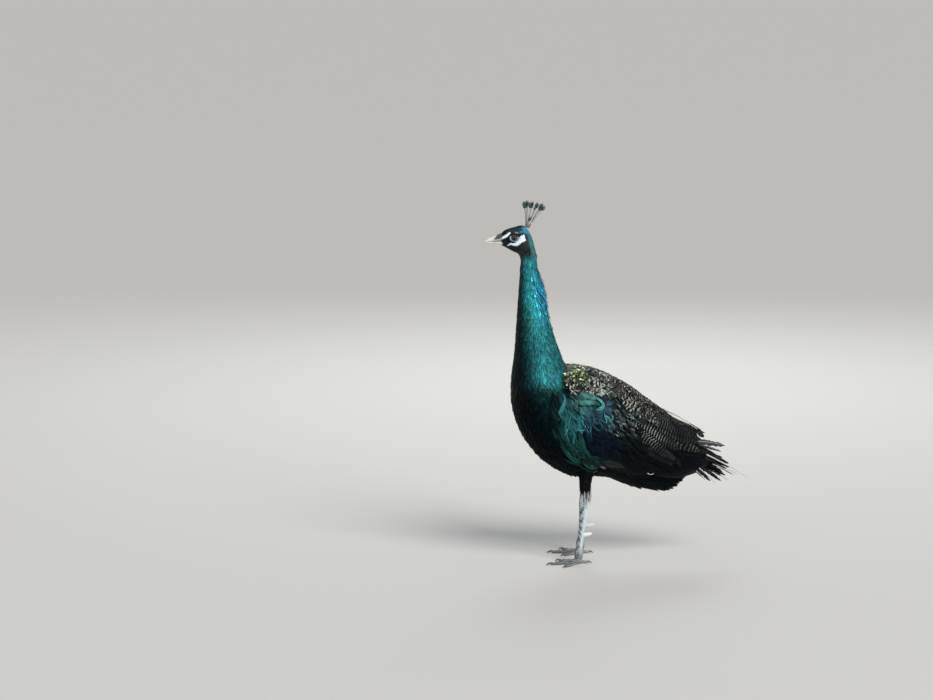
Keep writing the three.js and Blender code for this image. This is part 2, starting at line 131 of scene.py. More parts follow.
def makeStudio():
    scene = bpy.context.scene
    a, e = math.radians(studio["azimuth"]), math.radians(studio["elevation"])
    back = Vector((math.sin(a) * math.cos(e), -math.cos(a) * math.cos(e), math.sin(e)))
    camera = putInScene("camera", bpy.data.cameras.new("camera"), -back)
    camera.location = studio["cameraAt"]
    camera.data.lens = studio["lens"]
    camera.data.sensor_width = 36.0
    camera.data.clip_end = 200.0
    scene.camera = camera
    world = bpy.data.worlds.new("studioWorld")
    scene.world = world
    world.use_nodes = True
    background = world.node_tree.nodes["Background"]
    background.inputs["Color"].default_value = (*studio["ambient"], 1)
    background.inputs["Strength"].default_value = studio["ambientStrength"]
    sun = putInScene("keyLight", bpy.data.lights.new("keyLight", "SUN"), -Vector(studio["sunFrom"]))
    sun.data.energy = studio["sunStrength"]
    sun.data.angle = math.radians(studio["sunAngle"])
    sun.data.color = studio["sunColour"]
    for name, (at, aim, size, power, colour) in studio["lamps"].items():
        light = putInScene(name, bpy.data.lights.new(name, "AREA"), Vector(aim) - Vector(at))
        light.location = at
        light.data.size = size
        light.data.energy = power
        light.data.color = colour
    r = studio["floorReach"]
    mesh = bpy.data.meshes.new("floor")
    mesh.from_pydata([(-r, -r, 0), (r, -r, 0), (r, r, 0), (-r, r, 0)], [], [(0, 1, 2, 3)])
    material, tree, shader = newMaterial("paleFloor")
    shader.inputs["Base Color"].default_value = (*studio["floor"], 1)
    shader.inputs["Roughness"].default_value = 0.9
    mesh.materials.append(material)
    putInScene("floor", mesh)
    scene.view_settings.view_transform = "Standard"


makeStudio()
print("studio is up")

# Each station is a slice: a point on the nape and back, one on the throat and belly, the half
# width, how much wider it is below, and how deep the feathers are there.
bodyStations = [
    (-196, 826.4, -196, 797.0, 8.5, 0, 0.3),  # root of the bill
    (-184, 835.2, -185, 791.5, 13, 0.05, 0.8),
    (-164, 842, -169, 782, 18, 0.08, 1.0),  # eyes
    (-141, 844.6, -153, 773, 20.5, 0.05, 1.2),
    (-122, 824, -147, 757, 20.5, 0, 1.8),  # nape
    (-109, 785, -149, 738, 21.5, 0, 2.2),
    (-102.5, 743, -150.5, 718, 24.5, 0, 2.8),  # top of the neck
    (-86, 690, -154, 676, 33, 0, 3.4),
    (-72, 612, -159, 606, 43, 0, 4.0),
    (-46, 534, -165, 528, 56, 0.03, 4.8),
    (-22, 492, -172.5, 452, 74, 0.08, 5.6),  # root of the neck
    (25, 482, -169.5, 388, 89, 0.1, 6.4),
    (70, 463, -146, 320, 97, 0.1, 6.8),  # breast
    (115, 438, -100, 259, 98, 0.08, 7.0),
    (160, 405, -33, 216, 94, 0.06, 7.0),
    (205, 371, 58, 206, 84, 0.04, 7.0),  # belly
    (250, 339, 138, 179, 64, 0.02, 7.0),
    (288, 314, 214, 170, 42, 0, 6.0),
    (316, 290, 260, 198, 22, 0, 5.0),  # root of the tail
]
wingThick = 13.5
backCover = 9.0
wingEnds = [
    (292, 334, 236, 178, 62, 0, 0),
    (330, 306, 302, 206, 46, 0, 0),
    (386, 266, 376, 236, 20, 0, 0),
]


def throughPoints(table, t):
    # a smooth curve through the rows of a table, at t from 0 to 1
    table = np.asarray(table, dtype=float)
    n = len(table)
    ends = np.vstack([2 * table[0] - table[1], table, 2 * table[-1] - table[-2]])
    s = np.clip(np.asarray(t, dtype=float), 0, 1) * (n - 1)
    i = np.minimum(s.astype(int), n - 2)
    f = (s - i)[..., None]
    a, b, c, d = ends[i], ends[i + 1], ends[i + 2], ends[i + 3]
    return 0.5 * (2 * b + (c - a) * f + (2 * a - 5 * b + 4 * c - d) * f**2 + (3 * b - a - 3 * c + d) * f**3)


def slicePoint(stations, u, v):
    # the skin's point at u along the body and v round it, under its feathers
    row = throughPoints(stations, u)
    top, low, depth = row[..., 0:2], row[..., 2:4], row[..., 6]
    middle = (top + low) / 2
    reach = (top - low) / 2
    size = np.maximum(np.linalg.norm(reach, axis=-1), 1e-6)
    reach = reach * ((size - depth) / size)[..., None]
    side = np.cos(v)
    p = np.empty(np.broadcast(u, v).shape + (3,))
    p[..., 0] = middle[..., 0] + reach[..., 0] * side
    p[..., 2] = middle[..., 1] + reach[..., 1] * side
    p[..., 1] = (row[..., 4] - depth) * np.sin(v) * (1 - row[..., 5] * side)
    return p


def surfaceOf(p):
    # a table of a surface, for placing feathers on it, from its points along by round
    du = np.gradient(p, np.linspace(0, 1, len(p)), axis=0)
    dv = (np.roll(p, -1, axis=1) - np.roll(p, 1, axis=1)) / (2 * fullTurn / p.shape[1])
    n = unit(np.cross(dv, du))
    if np.sum(n * (p - p.mean(axis=1, keepdims=True))) < 0:
        n = -n
    return {"p": p, "du": du, "dv": dv, "n": n, "nu": p.shape[0], "nv": p.shape[1]}


def loftOf(stations, nu, nv=240):
    us, vs = np.meshgrid(np.linspace(0, 1, nu), np.arange(nv) / nv * fullTurn, indexing="ij")
    return surfaceOf(slicePoint(stations, us, vs))


def sample(surface, name, u, v):
    table, nu, nv = surface[name], surface["nu"], surface["nv"]
    a = np.clip(np.asarray(u, dtype=float), 0, 1) * (nu - 1)
    b = (np.asarray(v, dtype=float) / (2 * math.pi) * nv) % nv
    i = np.minimum(a.astype(int), nu - 2)
    j = b.astype(int) % nv
    f, g = (a - i)[..., None], (b - np.floor(b))[..., None]
    k = (j + 1) % nv
    low = table[i, j] * (1 - g) + table[i, k] * g
    high = table[i + 1, j] * (1 - g) + table[i + 1, k] * g
    return low * (1 - f) + high * f


bodySkin = loftOf(bodyStations, 520)
wingStations = []
for row in bodyStations[10:-2]:
    way = np.array([row[0] - row[2], row[1] - row[3]])
    way = way / np.linalg.norm(way) * backCover
    wingStations.append((row[0] + way[0], row[1] + way[1], row[2], row[3], row[4] + wingThick, row[5], 0))
wingSkin = loftOf(wingStations + wingEnds, 420)

# The bare white skin and the eye, in side view.
cheekPatch = [
    (-182.4, 796.6), (-175.7, 802.6), (-170.4, 805.4), (-162.9, 806.4), (-156.9, 808.7), (-153.1, 813),
    (-152.2, 818.3), (-147.9, 822), (-142, 825.6), (-139.8, 824.2), (-138.6, 818.3), (-138.2, 814.5),
    (-135.4, 810.3), (-141, 807.4), (-147, 805), (-152.4, 799.6), (-158.4, 796.2), (-166.7, 797),
    (-173.4, 799.2), (-178.7, 796.2),
]
browStripe = [
    (-199, 817.2), (-195.2, 818), (-189.2, 821.4), (-183.2, 825.4), (-177.9, 829.4), (-173.4, 829.8),
    (-173.2, 827.4), (-177.2, 823.4), (-181.7, 818.8), (-187.7, 815.6), (-193.7, 812.8), (-199, 811.6),
]
eyeBrow = [(-164, 829.2), (-159, 830.6), (-153.8, 829.4), (-152.6, 827.4), (-158, 827.8), (-163, 827.2)]
eye = {
    "at": np.array([-165.4, 11.4, 815.4]),
    "radius": 8.2,
    "cornea": 0.45,
    "gaze": (-0.17, -0.04),  # how far the pupil looks ahead and down
    "set": (1.2, -0.8),  # how far back and down the ball sits behind the lids
}
# Seen from slightly ahead and above, what lies outward shows further back and lower.
sideSlant = (0.123, 0.157)


def sideX(p):
    return p[..., 0] + sideSlant[0] * np.abs(p[..., 1])


def sideZ(p):
    return p[..., 2] - sideSlant[1] * np.abs(p[..., 1])


def insideOutline(x, z, outline, soft=1.0):
    # 1 inside a side-view outline and 0 outside, with a soft edge
    x, z = np.asarray(x, dtype=float), np.asarray(z, dtype=float)
    inside = np.zeros(x.shape, dtype=bool)
    near = np.full(x.shape, 1e9)
    for (ax, az), (bx, bz) in zip(outline, outline[1:] + outline[:1]):
        crosses = (az > z) != (bz > z)
        slope = (bx - ax) * (z - az) / ((bz - az) if bz != az else 1e-9) + ax
        inside ^= crosses & (x < slope)
        length = (bx - ax) ** 2 + (bz - az) ** 2
        t = np.clip(((x - ax) * (bx - ax) + (z - az) * (bz - az)) / length, 0, 1)
        near = np.minimum(near, np.hypot(x - ax - t * (bx - ax), z - az - t * (bz - az)))
    return smooth(-soft, soft, np.where(inside, near, -near))


def bareMask(p):
    x, z = p[..., 0], p[..., 2]
    return np.maximum(insideOutline(x, z, cheekPatch), insideOutline(x, z, browStripe))


def fromEye(p):
    return p[..., 0] - eye["at"][0], p[..., 2] - eye["at"][2]


def lidMask(p):
    x, z = fromEye(p)
    away = np.abs(x / 12.6) ** 1.5 + np.abs((z + 0.04 * x) / 8.6) ** 1.5
    return 1 - smooth(0.93, 1.08, away ** (1 / 1.5))


tints = {
    "lores": (0.003, 0.008, 0.013), "crown": (0.008, 0.026, 0.036), "crownDark": (0.002, 0.009, 0.012),
    "crestRoot": (0.055, 0.270, 0.400), "eyeDark": (0.003, 0.014, 0.014), "eyeLine": (0.002, 0.014, 0.040),
    "nape": (0.058, 0.180, 0.190), "ear": (0.007, 0.011, 0.013), "throat": (0.011, 0.015, 0.014),
    "neckBright": (0.014, 0.135, 0.150), "neckBlue": (0.024, 0.220, 0.380),
    "neckHigh": (0.026, 0.290, 0.340), "neckGreen": (0.020, 0.130, 0.100),
    "neckTop": (0.024, 0.210, 0.240), "neckPaintedShade": (0.0008, 0.008, 0.011),
    "breast": (0.004, 0.034, 0.038), "breastDarkAndShade": (0.0006, 0.003, 0.004), "flank": (0.006, 0.060, 0.056),
    "belly": (0.0012, 0.0028, 0.0040), "gold": (0.030, 0.045, 0.016), "rump": (0.0045, 0.0080, 0.0055),
    "bareSkin": (0.74, 0.81, 0.86), "lid": (0.17, 0.21, 0.27), "lidPale": (0.46, 0.52, 0.56),
    "lidTop": (0.035, 0.045, 0.050), "browMark": (0.20, 0.33, 0.29), "thigh": (0.003, 0.0035, 0.0045),
    "frill": (0.46, 0.48, 0.47), "hock": (0.24, 0.26, 0.27),
}


def lidColour(p):
    # grey under the eye, nearly white at the corner towards the bill, dark above
    x, z = fromEye(p)
    lid = mix(tints["lid"], tints["lidPale"], smooth(-5.5, -9.5, x))
    return mix(lid, tints["lidTop"], smooth(2.5, 5.0, z) * smooth(-9, -4, x))


def headPlumage(x, z):
    # dark face and crown, blue under the crest and grey-green down the nape
    rear = smooth(-140, -128, x + 0.35 * (z - 820))
    colour = mix(tints["throat"], tints["ear"], smooth(775, 800, z))
    for label, share in (
        ("eyeDark", smooth(806, 818, z)),
        ("crown", smooth(829, 834, z)),
        ("lores", smooth(-166, -178, x) * smooth(800, 812, z) * smooth(834, 828, z)),
        ("crownDark", smooth(-162, -156, x) * smooth(838, 842, z)),
        ("eyeLine", smooth(-150, -140, x) * smooth(808, 816, z) * (1 - rear)),
        ("nape", rear * smooth(838, 822, z)),
        ("crestRoot", smooth(-153, -146, x) * smooth(826, 832, z) * smooth(846, 841, z) * 0.9),
        ("browMark", insideOutline(x, z, eyeBrow, 1.2)),
    ):
        colour = mix(colour, tints[label], share)
    return colour


def plumage(p, u):
    # the colour of the feathers at a point of the body surface, with painted shade on the front of the neck
    # and, in part, on the breast
    x, z = p[..., 0], p[..., 2]
    row = throughPoints(bodyStations, u)
    across = row[..., 0:2] - row[..., 2:4]
    back = (x - row[..., 2]) * across[..., 0] + (z - row[..., 3]) * across[..., 1]
    back = back / np.sum(across**2, axis=-1)
    neck = mix(tints["neckBright"], tints["neckHigh"], hill(z, 662, 58))
    neck = mix(neck, tints["neckTop"], smooth(706, 740, z))
    neck = mix(neck, tints["neckGreen"], hill(z, 622, 40) * smooth(0.62, 0.30, back) * 0.8)
    neck = mix(neck, tints["neckBlue"], hill(z, 682, 44) * smooth(0.45, 0.80, back) * 0.95)
    # the front edge of the neck is darkened with painted shade: its feathers are as blue as the rest of the
    # neck
    edge = np.interp(z, [430, 520, 620, 740], [0.34, 0.26, 0.20, 0.12])
    neck = mix(tints["neckPaintedShade"], neck, smooth(edge - 0.14, edge + 0.24, back))
    colour = mix(neck, headPlumage(x, z), smooth(752, 775, z - 0.35 * (x + 150)))
    # the breast is darker than the neck and darkest at its front, partly its own colour and partly painted
    # shade
    breast = mix(tints["breastDarkAndShade"], tints["breast"], smooth(0.16, 0.60, back))
    colour = mix(breast, colour, smooth(436, 462, sideZ(p)))  # the bright neck ends here
    flank = smooth(-100, -10, x) * smooth(436, 400, z) * smooth(0.16, 0.42, back)
    colour = mix(colour, tints["flank"], flank * (x < 140))
    colour = mix(colour, tints["belly"], smooth(20, 90, x) * smooth(330, 250, z))
    colour = mix(colour, tints["belly"], smooth(0.26, 0.08, back) * smooth(330, 290, z))
    bronze = mix(tints["gold"], tints["rump"], smooth(20, 150, x))
    return mix(colour, bronze, smooth(0.80, 0.93, back) * smooth(-62, -30, x))


def makeMesh(name, verts, faces, attributes=(), uvs=None, smoothFaces=True):
    # verts in millimetres, uvs one pair for each face corner, attributes as (name, kind, values)
    fields = {"FLOAT_COLOR": "color", "FLOAT_VECTOR": "vector", "FLOAT": "value"}
    mesh = bpy.data.meshes.new(name)
    mesh.from_pydata([tuple(v) for v in toWorld(verts)], [], faces)
    for label, kind, values in attributes:
        layer = mesh.attributes.new(label, kind, "POINT")
        layer.data.foreach_set(fields[kind], np.asarray(values, dtype=np.float32).ravel())
    if uvs is not None:
        layer = mesh.uv_layers.new(name="OFBake")
        layer.data.foreach_set("uv", np.asarray(uvs, dtype=np.float32).ravel())
    if smoothFaces:
        mesh.shade_smooth()
    return putInScene(name, mesh)


def rgba(colours):
    colours = np.asarray(colours, dtype=float)
    return np.concatenate([colours, np.ones(colours.shape[:-1] + (1,))], axis=-1)


def turnOut(obj):
    # closed shells get their faces pointing outwards
    bm = bmesh.new()
    bm.from_mesh(obj.data)
    bmesh.ops.recalc_face_normals(bm, faces=bm.faces)
    bm.to_mesh(obj.data)
    bm.free()


def setPiece(obj, nodes=(), material=None, closed=False):
    # what a finished piece is made of and the solids it stands for; it hangs from the root
    if closed:
        turnOut(obj)
    if material is not None:
        obj.data.materials.append(material)
    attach(obj, "root")
    if nodes:
        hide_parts(*nodes)
    print(obj.name, "has", len(obj.data.polygons), "faces")


def ramp(stops, source):
    made = addNode(source.id_data, "ShaderNodeValToRGB", {"Fac": source})
    while len(made.color_ramp.elements) < len(stops):
        made.color_ramp.elements.new(0.5)
    for element, (at, colour) in zip(made.color_ramp.elements, stops):
        element.position = at
        element.color = (*colour, 1)
    return made.outputs["Color"]


def noiseOf(tree, scale, detail=3.0, roughness=0.55, vector=None):
    if vector is None:
        vector = tree.nodes.new("ShaderNodeTexCoord").outputs["Object"]
    inputs = {"Vector": vector, "Scale": scale, "Detail": detail, "Roughness": roughness}
    return addNode(tree, "ShaderNodeTexNoise", inputs).outputs["Fac"]


def calc(operation, *values, clamp=False):
    # a Math node on sockets and plain numbers
    tree = [value for value in values if isinstance(value, bpy.types.NodeSocket)][0].id_data
    made = addNode(tree, "ShaderNodeMath", dict(enumerate(values)), operation=operation, use_clamp=clamp)
    return made.outputs["Value"]


def times(a, b, clamp=False):
    return calc("MULTIPLY", a, b, clamp=clamp)


def fit(a, factor, offset, clamp=False):
    return calc("MULTIPLY_ADD", a, factor, offset, clamp=clamp)


def blend(share, a, b):
    # from a to b in colour: the node's coloured sockets are 6 and 7, and its coloured result is 2
    b = (*b, 1) if isinstance(b, tuple) else b
    return addNode(share.id_data, "ShaderNodeMix", {0: share, 6: a, 7: b}, data_type="RGBA").outputs[2]


def attribute(tree, name, output="Color"):
    return addNode(tree, "ShaderNodeAttribute", attribute_name=name).outputs[output]


def separate(socket):
    return addNode(socket.id_data, "ShaderNodeSeparateXYZ", {"Vector": socket}).outputs


def shadeBy(colour, shade):
    inputs = {0: colour, "Scale": shade}
    return addNode(colour.id_data, "ShaderNodeVectorMath", inputs, operation="SCALE").outputs["Vector"]


def finishShader(shader, colour, rough, metal=0.0, gloss=0.5, bump=None):
    # bump: height, strength and depth in metres
    shader.id_data.links.new(colour, shader.inputs["Base Color"])
    shader.inputs["Roughness"].default_value = rough
    shader.inputs["Metallic"].default_value = metal
    shader.inputs["Specular IOR Level"].default_value = gloss
    if bump:
        inputs = {"Height": bump[0], "Strength": bump[1], "Distance": bump[2]}
        made = addNode(shader.id_data, "ShaderNodeBump", inputs)
        shader.id_data.links.new(made.outputs["Normal"], shader.inputs["Normal"])


def featherMaterial(name, rough, metal, edge=0.6, shaft=0.35, barb=0.25, gloss=0.2):
    # the root colour of each feather, with a shaft, fine barbs and brighter rims at the tips, and painted
    # shade that darkens it towards the root, where the next feather overlaps it
    material, tree, shader = newMaterial(name)
    along, across, _ = separate(attribute(tree, "vane", "Vector"))
    off = calc("ABSOLUTE", across)
    slant = calc("SUBTRACT", along, times(off, 0.35))
    barbs = fit(calc("SINE", times(slant, 46.0)), 0.5, 0.5)
    # painted shade: darker towards the root, where the feather lies under the next one
    shade = fit(calc("POWER", along, 1.3), edge, 1.0 - edge * 0.62)
    shade = times(shade, fit(noiseOf(tree, 60.0, 2.0), 1.1, 0.45))
    shade = times(shade, fit(barbs, barb, 1.0 - barb / 2))
    middle = calc("SUBTRACT", 1.0, times(off, 9.0), clamp=True)
    shade = times(shade, fit(middle, shaft, 1.0))
    finishShader(shader, shadeBy(attribute(tree, "tint"), shade), rough, metal, gloss, (barbs, 0.25, 0.0004))
    return material


def tintedMaterial(name, grain, bump, rough, metal=0.0, gloss=0.5):
    # the piece's own tint, cloudy, over a fine grain; grain and bump start with a scale and a detail
    material, tree, shader = newMaterial(name)
    shade = fit(noiseOf(tree, *grain[:2]), *grain[2:])
    height = noiseOf(tree, *bump[:2])
    finishShader(shader, shadeBy(attribute(tree, "tint"), shade), rough, metal, gloss, (height, *bump[2:]))
    return material


def rampedMaterial(name, label, stops, grain, rough, gloss=0.5, bumpy=True):
    # colours that change with an attribute of the mesh; grain is a scale, a detail and a spread
    material, tree, shader = newMaterial(name)
    uneven = fit(noiseOf(tree, *grain[:2]), grain[2], -grain[2] / 2)
    colour = ramp(stops, calc("ADD", attribute(tree, label, "Fac"), uneven, clamp=True))
    bump = (noiseOf(tree, 900.0, 3.0), 0.3, 0.0003) if bumpy else None
    finishShader(shader, colour, rough, 0.0, gloss, bump)
    return material


def tubeAlong(stops, rings, sides, flat=1.0):
    # rings of points round a smooth path; stops are (x, y, z, radius), flat narrows the sideways radius
    stops = np.asarray(stops, dtype=float)
    path = throughPoints(stops, np.linspace(0, 1, rings))
    way = unit(np.gradient(path[:, :3], axis=0))
    side = np.array([0.0, 1.0, 0.0]) - way * way[:, 1:2]
    level = np.linalg.norm(side, axis=-1) < 0.2
    side[level] = (np.array([1.0, 0.0, 0.0]) - way * way[:, 0:1])[level]
    side = unit(side)
    up = np.cross(side, way)
    radius = np.maximum(path[:, 3], 0.15)[:, None, None]
    angle = (np.arange(sides) / sides * fullTurn)[None, :, None]
    ring = side[:, None] * flat * np.cos(angle) + up[:, None] * np.sin(angle)
    return path[:, None, :3] + radius * ring


def closedTube(rings):
    # a tube with a fan at each end: its verts and faces
    rows, sides = rings.shape[:2]
    verts = np.vstack([rings.reshape(-1, 3), rings[0].mean(axis=0), rings[-1].mean(axis=0)])
    pairs = [(j, (j + 1) % sides) for j in range(sides)]
    faces = []
    for i in range(0, (rows - 1) * sides, sides):
        faces += [(i + j, i + k, i + sides + k, i + sides + j) for j, k in pairs]
    end, last = rows * sides, (rows - 1) * sides
    for j, k in pairs:
        faces += [(end, k, j), (end + 1, last + j, last + k)]
    return verts, faces


def tubeUv(along, sides, low=0.0, high=1.0, cap=0.0):
    # the corners' places for closedTube: along has one for each ring, low to high goes round
    uvs = []
    around = [low + (high - low) * j / sides for j in range(sides + 1)]
    pairs = list(zip(around, around[1:]))
    for a, b in zip(along, along[1:]):
        for c, d in pairs:
            uvs += [(a, c), (a, d), (b, d), (b, c)]
    for c, d in pairs:
        uvs += [(along[0], (c + d) / 2), (along[0] + cap, d), (along[0] + cap, c)]
        uvs += [(along[-1], (c + d) / 2), (along[-1] - cap, c), (along[-1] - cap, d)]
    return uvs


def joinShells(parts):
    # one list of verts and one of faces out of parts that begin with their own
    verts, faces, count = [], [], 0
    for v, f, *_ in parts:
        verts.append(v)
        faces += [tuple(i + count for i in face) for face in f]
        count += len(v)
    return np.vstack(verts), faces


def meshOf(name, parts, label="tint"):
    # one mesh out of (verts, faces, a colour or a number for each vert, places on the map)
    values = np.concatenate([part[2] for part in parts])
    kind, values = ("FLOAT", values) if values.ndim == 1 else ("FLOAT_COLOR", rgba(values))
    uvs = [corner for part in parts for corner in part[3]]
    return makeMesh(name, *joinShells(parts), [(label, kind, values)], uvs)


def withEnds(values):
    # values on rings, and those of a tube's two end points
    return np.concatenate([values.reshape(-1, *values.shape[2:]), [values[0, 0], values[-1, 0]]])


def meshWith(obj):
    # the plain mesh that an object's modifiers make
    graph = bpy.context.evaluated_depsgraph_get()
    done = obj.evaluated_get(graph)
    return bpy.data.meshes.new_from_object(done, preserve_all_data_layers=True, depsgraph=graph)



# The skin: its rows and how it bulges under the wings, tucks under the bill and is laid out on the map.
skinMake = {
    "headRows": 170, "bodyRows": 240, "round": 144, "headUntil": 5 / 18, "headMap": 0.30, "bodyMap": 0.70,
    "wingBulge": 9.5, "bulgeAhead": 26, "tuck": 2.4,
}


def skinU(u):
    # the head takes a third of the unwrap, because its markings are the finest
    return float(np.interp(u, [0, skinMake["headUntil"], 1], [0, skinMake["headMap"], skinMake["bodyMap"]]))


def headRelief(p):
    # lids, brow and cheek: how far the head's skin stands out
    x, z = p[..., 0], p[..., 2]
    ex, ez = fromEye(p)
    ring = np.sqrt((ex / 6.4) ** 2 + (ez / 5.2) ** 2)
    out = 1.5 * hill(ring, 1.34, 0.26) - 3.4 * (1 - smooth(0.95, 1.18, ring)) - hill(ring, 2.15, 0.45)
    out += 1.2 * hill(z + 0.10 * (x + 165), 831, 3.4) * smooth(-192, -180, x) * smooth(-140, -152, x)
    out += 0.8 * insideOutline(x, z, cheekPatch, 2.0) + 0.5 * insideOutline(x, z, browStripe, 1.6)
    out += hill(x, -139, 9) * hill(z, 797, 8)  # the ear
    return out * smooth(4, 9, np.abs(p[..., 1]))


def underWing(p, ahead=0.0):
    # 1 where the folded wing lies over the body, in side view, with a soft edge
    x, z = p[..., 0], p[..., 2]
    heights = [200, 240, 268, 306, 347, 379, 420, 460, 520]
    front = np.interp(z, heights, [95, 58, 32, 14, 4, -8, -28, -38, -42])
    low = np.interp(x, [40, 62, 150, 250, 318], [260, 240, 222, 204, 236])
    return smooth(4, 26, x - front + ahead) * smooth(2, 20, z - low) * smooth(334, 312, x)


def makeBodySkin():
    neck, n = skinMake["headUntil"], skinMake["round"]
    us = np.concatenate([
        np.linspace(0, neck, skinMake["headRows"], endpoint=False),
        np.linspace(neck, 1, skinMake["bodyRows"]),
    ])
    uu, vv = np.meshgrid(us, np.arange(n) / n * fullTurn, indexing="ij")
    p = slicePoint(bodyStations, uu, vv)
    isHead = smooth(0.30, 0.22, uu)
    bulge = underWing(p, skinMake["bulgeAhead"] * smooth(440, 400, p[..., 2])) * smooth(0.45, 0.55, uu)
    rise = headRelief(p) * isHead + skinMake["wingBulge"] * bulge
    rise -= skinMake["tuck"] * smooth(0.012, 0.0, uu)  # the skin dives under the horn of the bill
    p = p + sample(bodySkin, "n", uu, vv) * rise[..., None]
    colour = mix(plumage(p, uu), tints["bareSkin"], bareMask(p) * isHead)
    colour = mix(colour, lidColour(p), lidMask(p) * isHead)
    return *closedTube(p), withEnds(colour), tubeUv([skinU(u) for u in us], n, cap=0.0005)


# The legs: the ankle's place, the shank above it and the toes round it.
legMake = {"tarsus": 136, "ankle": 13, "spread": 56, "slope": 14, "turn": 9, "sole": 1.3, "voxel": 1.05}
toeTable = [
    {"name": "inner", "long": 50, "turn": -38, "root": 6.2, "end": 4, "claw": 13},
    {"name": "middle", "long": 70, "turn": 0, "root": 6.8, "end": 4.2, "claw": 15},
    {"name": "outer", "long": 56, "turn": 38, "root": 6.2, "end": 4, "claw": 13},
    {"name": "back", "long": 22, "turn": 168, "root": 5, "end": 3.6, "claw": 11},
]
legs = {"left": (-1, -6.0), "right": (1, 16.0)}
# Where each leg begins on the map of the skin, and the foot's stretch of it.
legMap = {
    "left": 0.70, "right": 0.85, "thigh": 0.08, "wide": 0.065, "low": 0.02, "tall": 0.40,
    "footTop": 22, "footAbove": 0.46, "footBelow": 0.73,
}
legTints = {
    "back": (0.56, 0.64, 0.68), "darkPlate": (0.030, 0.037, 0.040), "palePlate": (0.34, 0.40, 0.42),
    "seam": (0.50, 0.57, 0.59), "dusty": (0.10, 0.105, 0.105), "dustySeam": (0.30, 0.31, 0.30),
}


def thighStops(side, ankleX):
    y = side * legMake["spread"]
    hockZ = legMake["ankle"] + legMake["tarsus"]
    return [(ankleX + 28, y * 0.72, 276, 33), (ankleX + 18, y * 0.88, 222, 16.5), (ankleX + 15, y, 184, 12.2),
            (ankleX + legMake["slope"], y, hockZ + 4, 11.2)]


def shankStops(side, ankleX):
    y = side * legMake["spread"]
    hockX, hockZ = ankleX + legMake["slope"], legMake["ankle"] + legMake["tarsus"]
    return [(hockX, y, hockZ + 22, 11), (hockX, y, hockZ + 12, 12.8), (hockX, y, hockZ - 4, 13.8),
            (hockX - 2, y, hockZ - 30, 11.4), (ankleX + legMake["slope"] * 0.42, y, 78.3, 7.4),
            (ankleX + 3, y, 50, 7.0), (ankleX, y, 30, 10.2), (ankleX, y, 17, 10.4), (ankleX, y, 6, 6.5)]


def toePlace(side, toe, ankleX, out):
    turn = math.radians(side * (toe["turn"] + legMake["turn"]))
    return np.array([ankleX - math.cos(turn) * out, side * legMake["spread"] + math.sin(turn) * out])


def toeStops(side, toe, ankleX):
    # joints swell along the toe and pads touch the floor
    stops = []
    long, sole = toe["long"], legMake["sole"]
    for part, z, radius in (
        (0.0, legMake["ankle"] - 5, toe["root"] * 0.92),
        (0.22, toe["root"] - sole + 0.6, toe["root"] * 0.92),
        (0.36, toe["root"] - sole - 0.5, toe["root"] * 0.82),
        (0.50, toe["end"] + 1.2 - sole, toe["end"] + 1.2),
        (0.64, toe["end"] + 0.2 - sole, toe["end"] + 0.2),
        (0.78, toe["end"] + 0.7 - sole, toe["end"] + 0.7),
        (0.90, toe["end"] - 0.1 - sole, toe["end"] - 0.1),
        (1.03, toe["end"] - sole, toe["end"] * 0.78),
    ):
        x, y = toePlace(side, toe, ankleX, long * part)
        stops.append((x, y, z, radius))
    return stops


def makeLegSkin(name):
    # shank and toes are melted into one skin, which is flat where it stands
    side, ankleX = legs[name]
    parts = [closedTube(tubeAlong(shankStops(side, ankleX), 60, 28, 0.78))]
    parts += [closedTube(tubeAlong(toeStops(side, toe, ankleX), 30, 18)) for toe in toeTable]
    webStops = ((4, 5.5, 9), (18, 4.6, 7))
    web = [(*toePlace(side, toeTable[1], ankleX, out), z, radius) for out, z, radius in webStops]
    parts.append(closedTube(tubeAlong(web, 6, 16, 1.25)))
    draft = makeMesh("draftLeg", *joinShells(parts), smoothFaces=False)
    turnOut(draft)
    melt = draft.modifiers.new("melt", "REMESH")
    melt.mode = "VOXEL"
    melt.voxel_size = legMake["voxel"] * mm
    relax = draft.modifiers.new("relax", "SMOOTH")
    relax.factor = 0.5
    relax.iterations = 5
    mesh = meshWith(draft)
    verts = np.empty(len(mesh.vertices) * 3)
    mesh.vertices.foreach_get("co", verts)
    verts = verts.reshape(-1, 3) / mm - np.array([shiftX, 0, 0])
    verts[:, 2] = np.maximum(verts[:, 2], 0.0)
    faces = [tuple(p.vertices) for p in mesh.polygons]
    bpy.data.objects.remove(draft)
    bpy.data.meshes.remove(mesh)
    return verts, faces, legColour(verts, ankleX), legUv(verts, faces, name)


def shankMiddle(z, ankleX):
    # the shank leans backwards
    return ankleX + (z - legMake["ankle"]) / legMake["tarsus"] * legMake["slope"]


def legColour(p, ankleX):
    # nearly white at the back, and in front grey plates with pale seams
    z = p[:, 2]
    across = p[:, 0] - shankMiddle(z, ankleX)
    angle = np.arctan2(p[:, 1] - np.where(p[:, 1] < 0, -1, 1) * legMake["spread"], across)
    row = z / 6.2 + 0.4 * np.sin(angle * 2.3 + z * 0.11)
    column = angle * 1.5 + 0.5 * (np.floor(row) % 2) + 0.2 * np.sin(z * 0.37)
    seam = np.maximum(smooth(0.34, 0.5, np.abs(row % 1 - 0.5)), smooth(0.40, 0.5, np.abs(column % 1 - 0.5)))
    blotch = np.sin(z * 0.31 + 2.6 * np.sin(angle * 1.7 + z * 0.05))
    blotch = blotch + 0.7 * np.sin(angle * 3.1 + z * 0.73 + 2 * np.sin(z * 0.13))
    plate = mix(legTints["darkPlate"], legTints["palePlate"], smooth(-0.5, 0.5, blotch))
    plate = mix(plate, legTints["seam"], seam * 0.45)
    colour = mix(legTints["back"], plate, smooth(3, -4, across) * smooth(172, 140, z) * 0.95)
    return mix(colour, mix(legTints["dusty"], legTints["dustySeam"], seam), smooth(52, 14, z) * 0.85)


